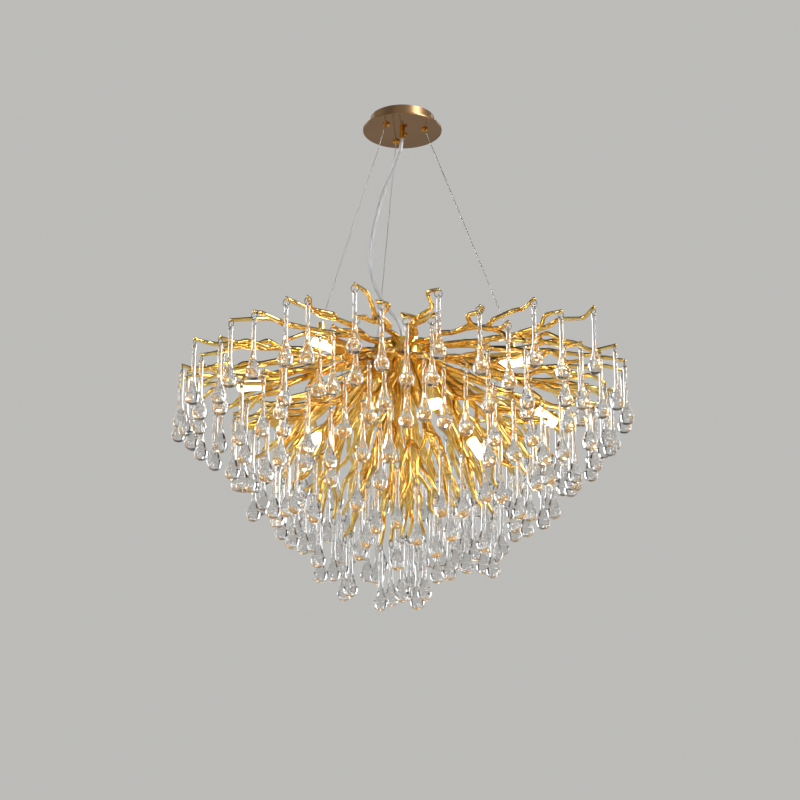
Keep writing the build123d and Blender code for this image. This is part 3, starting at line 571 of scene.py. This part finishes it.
def tipPoint(spot, rng):
    share = hypot(*spot) / branch["rim"]
    z = branch["lowestZ"] + (branch["rimZ"] - branch["lowestZ"]) * share ** branch["bowl"]
    lift = branch["lift"] * max(0.0, 1 - share) ** 0.25 if share < branch["outerShare"] else 0.0
    return (*spot, z + rng.uniform(-branch["sink"], max(lift, branch["sink"])))


def spreadTips(found):
    pitch = 2 * drop["bulb"] + drop["gap"]
    spots = [[*place(b, r, 0)[:2]] for one in found for b, r in one["tips"]]
    for _ in range(branch["spreadRounds"]):
        for a, b in combinations(spots, 2):
            apart = hypot(a[0] - b[0], a[1] - b[1])
            if apart < pitch:
                push = (pitch + 0.5 - apart) / 2 / apart
                dx, dy = (a[0] - b[0]) * push, (a[1] - b[1]) * push
                a[0] += dx
                a[1] += dy
                b[0] -= dx
                b[1] -= dy
    queue = iter(spots)
    for number, one in enumerate(found):
        rng = random.Random(100 + number)
        one["tips"] = [Vector(tipPoint(next(queue), rng)) for _ in one["tips"]]


def bend(start, end, bends, sway, rng):
    along = end - start
    outward = Vector((start.x + end.x, start.y + end.y, 0)).normalized()
    aside = Vector((-outward.y, outward.x, 0))
    rise = along.normalized().cross(aside)
    turn = rng.choice((-1, 1))
    points = []
    for k in range(bends):
        share = (k + 1 + rng.uniform(-0.18, 0.18)) / (bends + 1)
        shift = aside * (turn * rng.uniform(0.55, 1.0) * sway) + rise * (rng.uniform(-0.8, 0.8) * sway)
        points.append(start.lerp(end, share) + shift)
        turn = -turn if rng.random() < 0.75 else turn
    return points


def stemStart(tier, number):
    if tier in ("rim_front", "rim_back"):
        return hub["radius"], rows[number % 2]
    if tier in ("shoulder", "upper", "middle"):
        return hub["radius"], rows[{"shoulder": 2, "upper": 3, "middle": 4}[tier]]
    return {"lower": 20.0, "heart": 8.5}[tier], hub["floorUnder"]


def growBranch(one, number):
    rng = random.Random(1000 + number)
    radius, z = stemStart(one["tier"], number)
    bearing = one["bearing"]
    upright = one["tier"] in ("lower", "heart")
    if upright:
        root = Vector(place(bearing, radius, z + hub["floor"]))
        lead = Vector(place(bearing, radius, z - branch["lead"]))
    else:
        root = Vector(place(bearing, radius - hub["wall"], z))
        lead = Vector(place(bearing, radius + branch["lead"], z))
    tips = one["tips"]
    aim = sum(tips, Vector((0, 0, 0))) / len(tips)
    fork = lead.lerp(aim, branch["fork"] if len(tips) > 2 else branch["fork"] + branch["laterFork"])
    stemBends = bend(lead, fork, 1 if upright else 2, branch["sway"] * 0.7, rng)
    runs = [("stem", [root, lead, *stemBends, fork])]
    side = Vector(place(bearing + 90, 1.0, 0))
    tips = sorted(tips, key=lambda tip: tip.x * side.x + tip.y * side.y)
    cuts = forks[len(tips)]
    groups = [tips[a:b] for a, b in zip(cuts, cuts[1:])]
    sway = twigSway.get(one["tier"], branch["sway"])
    for group in groups:
        joint = fork
        if len(group) == 2 and len(groups) > 1:
            middle = (group[0] + group[1]) / 2
            joint = fork.lerp(middle, branch["limbShare"] + rng.uniform(-0.06, 0.06))
            runs.append(("limb", [fork, *bend(fork, joint, 1, sway * 0.6, rng), joint]))
        for tip in group:
            bends = max(1, round((tip - joint).length / branch["runPerBend"]))
            runs.append(("twig", [joint, *bend(joint, tip, bends, sway, rng), tip]))
    one["runs"] = runs


branches = planBranches()
spreadTips(branches)
for number, one in enumerate(branches):
    growBranch(one, number)
print("branches planned:", len(branches))

# how the metal swells and thins: radius at the start and end of each kind of run, in millimetres
taper = {
    "stem": (5.2, 4.8),
    "limb": (4.8, 4.1),
    "twig": (4.2, 3.1),
    "unevenness": 0.07,
    "pitch": (26, 40),
    "sides": 10,
}
kink = {"share": 0.36, "samples": 5, "swell": 0.13, "reach": 5.0}
eye = {"outer": 3.5, "wire": 1.15, "flatness": 1.7, "overlap": 0.9, "around": 14, "section": 8}


def uneven(path, first, last, rng):
    # slow swelling along the run, as cast and filed by hand, and a knot at each kink
    marks = lengths(path)
    each = kink["samples"] + 1
    knots = [marks[k] for k in range(1 + each // 2, len(path) - 1, each)]
    phase, pitch = rng.uniform(0, 6), rng.uniform(*taper["pitch"])
    radii = []
    for mark in marks:
        share = mark / marks[-1]
        wave = sin(phase + mark / pitch * 2 * pi) * taper["unevenness"]
        knot = sum(kink["swell"] * exp(-(((mark - at) / kink["reach"]) ** 2)) for at in knots)
        fade = sin(pi * min(1, share * 1.4 + 0.1))
        radii.append((first + (last - first) * share) * (1 + wave * fade + knot))
    return radii


def addEye(shape, tip):
    # the flattened end of a twig, with the hole that its ring runs through
    verts, faces = shape
    bearing = atan2(tip.y, tip.x)
    out, up = Vector((cos(bearing), sin(bearing), 0)), Vector((0, 0, 1))
    hole = Vector((-sin(bearing), cos(bearing), 0))
    around, section = eye["around"], eye["section"]
    first = len(verts)
    middle = eye["outer"] - eye["wire"]
    for k in range(around):
        turn = 2 * pi * k / around
        radial = out * cos(turn) + up * sin(turn)
        for j in range(section):
            tilt = 2 * pi * j / section
            across = middle + eye["wire"] * cos(tilt)
            through = eye["wire"] * eye["flatness"] * sin(tilt)
            verts.append(tip + radial * across + hole * through)
    for k in range(around):
        for j in range(section):
            a = first + k * section + j
            b = first + k * section + (j + 1) % section
            c = first + ((k + 1) % around) * section + (j + 1) % section
            d = first + ((k + 1) % around) * section + j
            faces.append((a, d, c, b))


def makeBranchGroup(tier):
    shape = ([], [])
    for number, one in enumerate(branches):
        if one["tier"] != tier:
            continue
        rng = random.Random(3000 + number)
        for kind, points in one["runs"]:
            points = list(points)
            first, last = taper[kind]
            if kind == "twig":
                way = (points[-1] - points[-2]).normalized()
                points[-1] = points[-1] - way * (eye["outer"] - eye["overlap"])
            path = roundedPath(points, kink["samples"], kink["share"])
            radii = uneven(path, first, last, rng)
            addTube(shape, path, radii, taper["sides"])
            if kind == "twig":
                addEye(shape, points[-1] + way * (eye["outer"] - eye["overlap"]))
    piece = newPiece("branches_" + tier + "_gold", *toMetres(shape), [gold])
    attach(piece, "fixture")
    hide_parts("branches_" + tier)


for tier in ("rim_front", "rim_back", "shoulder", "upper", "middle", "lower", "heart"):
    makeBranchGroup(tier)
print("branches made")


# sprung steel jump rings: round wire bent to a closed loop, its two ends side by side
ring = {"radius": 6.4, "wire": 0.6, "overlap": 0.9, "around": 30, "section": 7}
# where the ring's closing lap begins, and how far its end runs past its start, in radians
lap = {"from": (0.7, 2.4), "past": 0.5}
swinging = (3, 5, 8, 9, 13, 14, 18, 20, 26, 27, 29, 33)
zones = {
    "rim": ("rim_front", "rim_back"),
    "shoulder": ("shoulder",),
    "inside": ("upper", "middle", "lower", "heart"),
}
allTips = [(one["tier"], tip) for one in branches for tip in one["tips"]]


def ringPath(tip, rng):
    bearing = atan2(tip.y, tip.x)
    side = Vector((-sin(bearing), cos(bearing), 0))
    out = Vector((cos(bearing), sin(bearing), 0))
    centre = tip - Vector((0, 0, ring["radius"]))
    start = rng.uniform(*lap["from"])
    path = []
    for k in range(ring["around"] + 1):
        share = k / ring["around"]
        turn = start + share * (2 * pi + lap["past"])
        shift = out * ((share - 0.5) * ring["overlap"])
        rise = Vector((0, 0, sin(turn) * ring["radius"]))
        path.append(centre + side * (cos(turn) * ring["radius"]) + rise + shift)
    return path


for zone, tierNames in zones.items():
    shape = ([], [])
    rng = random.Random(40)
    for tier, tip in allTips:
        if tier in tierNames:
            path = ringPath(tip, rng)
            addTube(shape, path, [ring["wire"]] * len(path), ring["section"], (False, False))
    piece = newPiece("rings_" + zone + "_wire", *toMetres(shape), [ringSteel])
    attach(piece, "fixture")
    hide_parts("rings_" + zone)
print("rings made")


# each drop is drawn from one bar of glass: pinched flat at its head, thin, then a round bulb
def dropOutline():
    # radius and height below the hole, from the pinched head down to the bulb
    top = drop["eye"] + 2.1
    bulbZ = top - drop["length"] + drop["bulb"]
    outline = [(0.0, top), (1.7, top - 0.02), (3.0, top - 0.4), (3.9, top - 1.4), (4.15, top - 3.0)]
    outline += [(4.15, top - 6.0), (3.9, top - 8.0), (3.6, top - 10.5), (3.4, top - 14.0)]
    outline += [(3.3, top - 22.0), (3.3, top - 36.0), (3.4, top - 50.0), (3.7, top - 60.0)]
    outline += [(4.3, top - 67.0), (5.6, top - 73.5), (7.5, top - 79.0), (9.6, bulbZ + 8.6)]
    for angle in range(36, -91, -9):
        outline.append((drop["bulb"] * cos(radians(angle)), bulbZ + drop["bulb"] * sin(radians(angle))))
    return outline[:-1] + [(0.0, bulbZ - drop["bulb"])]


def smoothOutline(points, samples):
    # a Catmull-Rom curve through the outline's points
    smooth = []
    for k in range(len(points) - 1):
        p0, p1 = points[max(k - 1, 0)], points[k]
        p2, p3 = points[k + 1], points[min(k + 2, len(points) - 1)]
        for j in range(samples):
            t = j / samples
            row = []
            for a, b, c, d in zip(p0, p1, p2, p3):
                squared = 2 * a - 5 * b + 4 * c - d
                cubed = 3 * b - a - 3 * c + d
                row.append(0.5 * (2 * b + (c - a) * t + squared * t * t + cubed * t**3))
            smooth.append((max(row[0], 0.0), row[1]))
    return smooth + [points[-1]]


def makeDropMesh():
    outline = smoothOutline(dropOutline(), 2)
    sides = drop["sides"]
    verts, faces = [Vector((0, 0, outline[0][1]))], []
    top = outline[0][1]
    for radius, z in outline[1:-1]:
        for j in range(sides):
            turn = 2 * pi * j / sides
            x, y = radius * cos(turn), radius * sin(turn)
            # the head is pinched flat while the glass is soft
            pinch = min(1.0, max(0.0, (top - drop["pinchFrom"] - z) / drop["pinchLength"]))
            pinch = pinch * pinch * (3 - 2 * pinch)
            half = drop["headThick"] / 2
            limit = half + (radius - half) * pinch if radius > half else radius
            y = y * limit / max(radius, 0.01)
            verts.append(Vector((x, y, z)))
    verts.append(Vector((0, 0, outline[-1][1])))
    rowsHere = len(outline) - 2
    for j in range(sides):
        n = (j + 1) % sides
        faces.append((0, 1 + j, 1 + n))
        for k in range(rowsHere - 1):
            a, b = 1 + k * sides + j, 1 + k * sides + n
            faces.append((a, a + sides, b + sides, b))
        last = 1 + (rowsHere - 1) * sides
        faces.append((len(verts) - 1, last + n, last + j))
    solid = newPiece("drop_solid", [v * mm for v in verts], faces, [crystal])
    cutShape = ([], [])
    line = [Vector((0, y, 0)) for y in (-8.0, 8.0)]
    addTube(cutShape, line, [drop["eye"] - drop["eyeWear"]] * 2, 16, (False, False))
    cutter = newPiece("drop_hole", *toMetres(cutShape), [crystal])
    cut = solid.modifiers.new("hole", "BOOLEAN")
    cut.object = cutter
    cut.operation = "DIFFERENCE"
    cut.solver = "EXACT"
    bpy.context.view_layer.update()
    evaluated = solid.evaluated_get(bpy.context.evaluated_depsgraph_get())
    mesh = bpy.data.meshes.new_from_object(evaluated)
    mesh.shade_smooth()
    bpy.data.objects.remove(solid)
    bpy.data.objects.remove(cutter)
    return mesh


dropMesh = makeDropMesh()
dropVerts = [v.co.copy() for v in dropMesh.vertices]
dropFaces = [tuple(p.vertices) for p in dropMesh.polygons]
print("drop made:", len(dropFaces), "faces")


def dropPlace(tip):
    bearing = atan2(tip.y, tip.x)
    at = (tip - Vector((0, 0, 2 * ring["radius"]))) * mm
    return Matrix.Translation(at) @ Matrix.Rotation(bearing, 4, "Z")


def placeDrop(shape, tip):
    verts, faces = shape
    first = len(verts)
    matrix = dropPlace(tip)
    verts.extend(matrix @ v for v in dropVerts)
    faces.extend(tuple(first + k for k in face) for face in dropFaces)


for zone, tierNames in zones.items():
    shape = ([], [])
    for number, (tier, tip) in enumerate(allTips):
        if tier in tierNames and number not in swinging:
            placeDrop(shape, tip)
    piece = newPiece("drops_" + zone + "_crystal", *shape, [crystal])
    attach(piece, "fixture")
    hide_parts("drops_" + zone)
for count, number in enumerate(swinging, 1):
    shape = ([], [])
    placeDrop(shape, allTips[number][1])
    piece = newPiece(f"swing_drop_{count:02d}_crystal", *shape, [crystal])
    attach(piece, f"drop_{count:02d}")
    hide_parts(f"swing_drop_{count:02d}")
print("glass drops hung:", len(allTips))


# nine capsule lamps, seated in their sockets
lamp = {
    "radius": 8.5,
    "length": 40.0,
    "dome": 4.0,
    "gap": 0.3,
    "base": (14.0, 6.0, 8.0),
    "pin": 0.6,
    "pinLength": 7.0,
    "pinSpread": 9.5,
}
cup = {"socket": 9.2, "play": 0.1, "wall": 1.2}
wireArm = {"lampOut": 176.0, "half": 4.0}
wireBearings = (-14, 106, 226)
cupRadius = cup["socket"] + cup["play"] + cup["wall"]
# bearing, distance from the axis, height, and dip in degrees
topLamps = [
    (bearing, wireArm["lampOut"], rows[2] - wireArm["half"] - cupRadius, 0) for bearing in wireBearings
]
armLamps = [
    (-172, 252, -534, 6),
    (-136, 196, -658, 38),
    (-76, 204, -622, 14),
    (-37, 148, -652, 55),
    (-14, 240, -590, 38),
    (101.5, 150, -560, 30),
]


def lampMatrix(bearing, radius, z, dip):
    at = Matrix.Translation(Vector(place(bearing, radius, z)) * mm)
    return at @ Matrix.Rotation(radians(bearing), 4, "Z") @ Matrix.Rotation(radians(dip), 4, "Y")


def capsuleShape():
    # lathe along X: the open end in the socket, a rounded far end with a small moulded step
    dome, length, radius = lamp["dome"], lamp["length"], lamp["radius"]
    outline = [(lamp["gap"], 0.0), (lamp["gap"], radius - 0.5), (lamp["gap"] + 0.5, radius)]
    outline += [(length * share, radius) for share in (0.25, 0.5, 0.75)]
    for k in range(7):
        turn = pi / 2 * k / 6
        outline.append((length - dome + dome * sin(turn), radius - dome + dome * cos(turn)))
    outline.append((length, 0.0))
    sides = 28
    verts, faces = [], []
    for x, r in outline:
        for j in range(sides):
            turn = 2 * pi * j / sides
            verts.append(Vector((x, r * cos(turn), r * sin(turn))))
    for k in range(len(outline) - 1):
        for j in range(sides):
            a, b = k * sides + j, k * sides + (j + 1) % sides
            faces.append((a, a + sides, b + sides, b))
    return verts, faces


def makeLamp(number, matrix):
    verts, faces = capsuleShape()
    kinds = [0] * len(faces)
    width, thickness, depth = lamp["base"]
    box = bmesh.new()
    bmesh.ops.create_cube(box, size=1.0)
    bmesh.ops.scale(box, vec=(depth + lamp["gap"], width, thickness), verts=box.verts)
    bmesh.ops.translate(box, vec=(-depth / 2 + lamp["gap"] / 2, 0, 0), verts=box.verts)
    bmesh.ops.bevel(box, geom=box.edges, offset=0.5, segments=2, affect="EDGES")
    first = len(verts)
    box.verts.index_update()
    verts += [v.co.copy() for v in box.verts]
    faces += [tuple(first + v.index for v in face.verts) for face in box.faces]
    kinds += [1] * len(box.faces)
    box.free()
    shape = (verts, faces)
    for side in (-1, 1):
        ends = (-depth - lamp["pinLength"] + lamp["pin"], -depth + 1)
        line = [Vector((x, side * lamp["pinSpread"] / 2, 0)) for x in ends]
        before = len(faces)
        addTube(shape, line, [lamp["pin"]] * 2, 10, (True, False))
        kinds += [2] * (len(faces) - before)
    verts = [matrix @ (v * mm) for v in verts]
    piece = newPiece(f"capsule_lamp_{number}", verts, faces, [litCapsule, steatite, steelWire], kinds)
    mesh = bmesh.new()
    mesh.from_mesh(piece.data)
    bmesh.ops.remove_doubles(mesh, verts=mesh.verts, dist=1e-6)
    bmesh.ops.recalc_face_normals(mesh, faces=mesh.faces)
    mesh.to_mesh(piece.data)
    mesh.free()
    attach(piece, f"lamp_{number}_body")
    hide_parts(f"lamp_{number}")


for number, spot in enumerate(topLamps + armLamps, 1):
    makeLamp(number, lampMatrix(*spot))
print("lamps made")


# 2 mm steel rope: six strands laid round a core
wire = {
    "radius": 1.0,
    "lay": 14.0,
    "step": 2.2,
    "strands": 6,
    "topCircle": 42.0,
    "topZ": -24.0,
    "lowCircle": 200.0,
    "lowZ": -458.0,
    "insideTop": 20.0,
    "insideLow": 6.0,
}


def makeWires():
    shape = ([], [])
    strand = wire["radius"] / 3
    for bearing in wireBearings:
        top = Vector(place(bearing, wire["topCircle"], wire["topZ"]))
        low = Vector(place(bearing, wire["lowCircle"], wire["lowZ"]))
        way = (low - top).normalized()
        start, end = top - way * wire["insideTop"], low + way * wire["insideLow"]
        across = way.orthogonal().normalized()
        beside = way.cross(across)
        addTube(shape, [start, end], [strand] * 2, 6, (False, False))
        length = (end - start).length
        count = int(length / wire["step"])
        for k in range(wire["strands"]):
            path = []
            for j in range(count + 1):
                mark = length * j / count
                turn = 2 * pi * (mark / wire["lay"] + k / wire["strands"])
                path.append(start + way * mark + (across * cos(turn) + beside * sin(turn)) * (2 * strand))
            addTube(shape, path, [strand * 1.02] * len(path), 5, (False, False))
    piece = newPiece("steel_ropes", *toMetres(shape), [steelWire])
    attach(piece, "fixture")
    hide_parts("suspension_wires")


makeWires()
print("wires made")


# clear sheath over two tinned cores; the points are the CAD route's
cordLook = {
    "radius": 0.00325,
    "coreRadius": 0.00125,
    "coreOffset": 0.00145,
    "coreStep": 0.002,
    "lay": 0.9,
    "length": 0.4405,
}
cordPoints = (
    (0, 0, -0.028),
    (0, 0, -0.056),
    (-0.014, 0.004, -0.094),
    (-0.033, 0.006, -0.137),
    (-0.047, 0.008, -0.190),
    (-0.058, 0.008, -0.246),
    (-0.059, 0.006, -0.296),
    (-0.049, 0.004, -0.340),
    (-0.027, 0.002, -0.376),
    (-0.007, 0.001, -0.402),
    (0, 0, -0.426),
    (0, 0, -0.445),
)


def cordCurve(name, bevel):
    data = bpy.data.curves.new(name, "CURVE")
    data.dimensions = "3D"
    spline = data.splines.new("NURBS")
    spline.points.add(len(cordPoints) - 1)
    for point, co in zip(spline.points, cordPoints):
        point.co = (*co, 1)
    spline.order_u = 3
    spline.use_endpoint_u = True
    spline.resolution_u = 12
    data.bevel_depth = bevel
    data.bevel_resolution = 5
    data.use_fill_caps = bevel > 0
    curve = bpy.data.objects.new(name, data)
    bpy.context.scene.collection.objects.link(curve)
    return curve


line = cordCurve("cord_line", 0.0)
bpy.context.view_layer.update()
lineMesh = bpy.data.meshes.new_from_object(line)
linePoints = [v.co.copy() for v in lineMesh.vertices]
bpy.data.objects.remove(line)
cord = cordCurve("clear_power_cord", cordLook["radius"])
cord.data.materials.append(sheath)
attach(cord, "fixture")
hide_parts("power_cord")


def evenly(points, step):
    marks = lengths(points)
    count = int(marks[-1] / step)
    found, k = [], 0
    for j in range(count + 1):
        mark = marks[-1] * j / count
        while k < len(marks) - 2 and marks[k + 1] < mark:
            k += 1
        share = (mark - marks[k]) / max(marks[k + 1] - marks[k], 1e-9)
        found.append(points[k].lerp(points[k + 1], min(share, 1.0)))
    return found


def makeCores():
    shape = ([], [])
    centre = evenly(linePoints, cordLook["coreStep"])
    marks = lengths(centre)
    for side in (0, 1):
        across = Vector((0, 1, 0))
        path = []
        for k, point in enumerate(centre):
            ahead = (centre[min(k + 1, len(centre) - 1)] - centre[max(k - 1, 0)]).normalized()
            across = (across - ahead * across.dot(ahead)).normalized()
            beside = ahead.cross(across)
            turn = 2 * pi * marks[k] / cordLook["lay"] + pi * side
            path.append(point + (across * cos(turn) + beside * sin(turn)) * cordLook["coreOffset"])
        addTube(shape, path, [cordLook["coreRadius"]] * len(path), 10, (False, False))
    piece = newPiece("tinned_cores", *shape, [tinnedCore])
    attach(piece, "fixture")
    return piece


cores = makeCores()
print("cord made")


# a wide pale floor, and dark flags stood round the set out of the camera's sight:
# they give the clear glass its dark outlines and the gold its depth, as a glass photographer uses them
studio = {
    "floorZ": -2.3,
    "half": 40.0,
    "paper": "#C6C4C0",
    "glow": 0.5,
    "air": "#E9E8E5",
    "pale": 0.62,
    "ambient": 0.17,
    "inThings": 0.72,
}
flags = {
    "bearings": (38, 142, 218, 322),
    "radius": 5.6,
    "width": 4.2,
    "low": -2.2,
    "high": 3.4,
    "overhead": 3.2,
    "cloth": "#1C1C1C",
}


def raysShown(tree):
    # 1 where the eye looks at the background, a little less in a mirror or through the glass,
    # and 0 where it would light the object
    ray = addNode(tree, "ShaderNodeLightPath")
    direct, glossy = ray.outputs["Is Camera Ray"], ray.outputs["Is Glossy Ray"]
    through = ray.outputs["Is Transmission Ray"]
    inThing = addNode(tree, "ShaderNodeMath", {"operation": "MAXIMUM"}, {0: glossy, 1: through})
    settings = {"operation": "MULTIPLY", 1: studio["inThings"]}
    dimmed = addNode(tree, "ShaderNodeMath", settings, {0: inThing.outputs["Value"]})
    shown = addNode(tree, "ShaderNodeMath", {"operation": "MAXIMUM"}, {0: direct, 1: dimmed.outputs["Value"]})
    return shown.outputs["Value"]


def square(half, z):
    return [Vector((x, y, z)) for x, y in ((-half, -half), (half, -half), (half, half), (-half, half))]


def makeFloor():
    verts = square(studio["half"], studio["floorZ"])
    # matt paper, rolled out
    paper, tree, shader = newMaterial("pale_paper")
    level = addNode(tree, "ShaderNodeMapRange", {"To Max": studio["glow"]}, {"Value": raysShown(tree)})
    setSockets(shader, {"Base Color": linear(studio["paper"]), "Emission Color": linear(studio["air"])})
    setSockets(shader, {"Roughness": 0.9, "Specular IOR Level": 0.1})
    tree.links.new(level.outputs["Result"], shader.inputs["Emission Strength"])
    newPiece("studio_floor", verts, [(0, 1, 2, 3)], [paper])


def makeFlags():
    verts, faces = [], []
    for bearing in flags["bearings"]:
        middle = Vector(place(bearing, flags["radius"], 0))
        side = Vector(place(bearing + 90, flags["width"] / 2, 0))
        first = len(verts)
        for z in (flags["low"], flags["high"]):
            verts += [middle - side + Vector((0, 0, z)), middle + side + Vector((0, 0, z))]
        faces.append((first, first + 1, first + 3, first + 2))
    first = len(verts)
    verts += square(flags["overhead"], flags["high"])
    faces.append((first, first + 1, first + 2, first + 3))
    # black cotton velvet, which gives back almost no light
    cloth, _, shader = newMaterial("black_flag_cloth")
    setSockets(shader, {"Base Color": linear(flags["cloth"]), "Roughness": 0.95})
    piece = newPiece("studio_flags", verts, faces, [cloth])
    piece.visible_camera = False


makeFloor()
makeFlags()


def areaLight(name, location, target, size, power, colour):
    data = bpy.data.lights.new(name, "AREA")
    data.shape = "RECTANGLE"
    data.size, data.size_y = size
    data.energy = power
    data.color = linear(colour)[:3]
    light = bpy.data.objects.new(name, data)
    light.location = location
    aim = Vector(target) - Vector(location)
    light.rotation_euler = aim.to_track_quat("-Z", "Y").to_euler()
    bpy.context.scene.collection.objects.link(light)


# where each soft box stands, its width and height in metres, and its power in watts
softBoxes = {
    "key_light": ((2.5, -2.0, 0.9), (1.1, 1.1), 78),
    "fill_light": ((-2.6, -2.0, -0.5), (0.7, 1.8), 28),
    "edge_light_left": ((-2.3, 1.7, 0.1), (0.5, 2.2), 21),
    "edge_light_right": ((2.3, 1.7, 0.1), (0.5, 2.2), 21),
}
middleOfIt = (0, 0, -0.55)
for name, (location, size, power) in softBoxes.items():
    areaLight(name, location, middleOfIt, size, power, "#FFFFFF")
print("studio lit:", len(softBoxes), "soft boxes")

world = bpy.data.worlds.new("studio_air")
bpy.context.scene.world = world
world.use_nodes = True
air = world.node_tree
limits = {"To Min": studio["ambient"], "To Max": studio["pale"]}
level = addNode(air, "ShaderNodeMapRange", limits, {"Value": raysShown(air)})
background = air.nodes["Background"]
background.inputs["Color"].default_value = linear(studio["air"])
air.links.new(level.outputs["Result"], background.inputs["Strength"])
bpy.context.scene.view_settings.view_transform = "Standard"

print("scene ready")
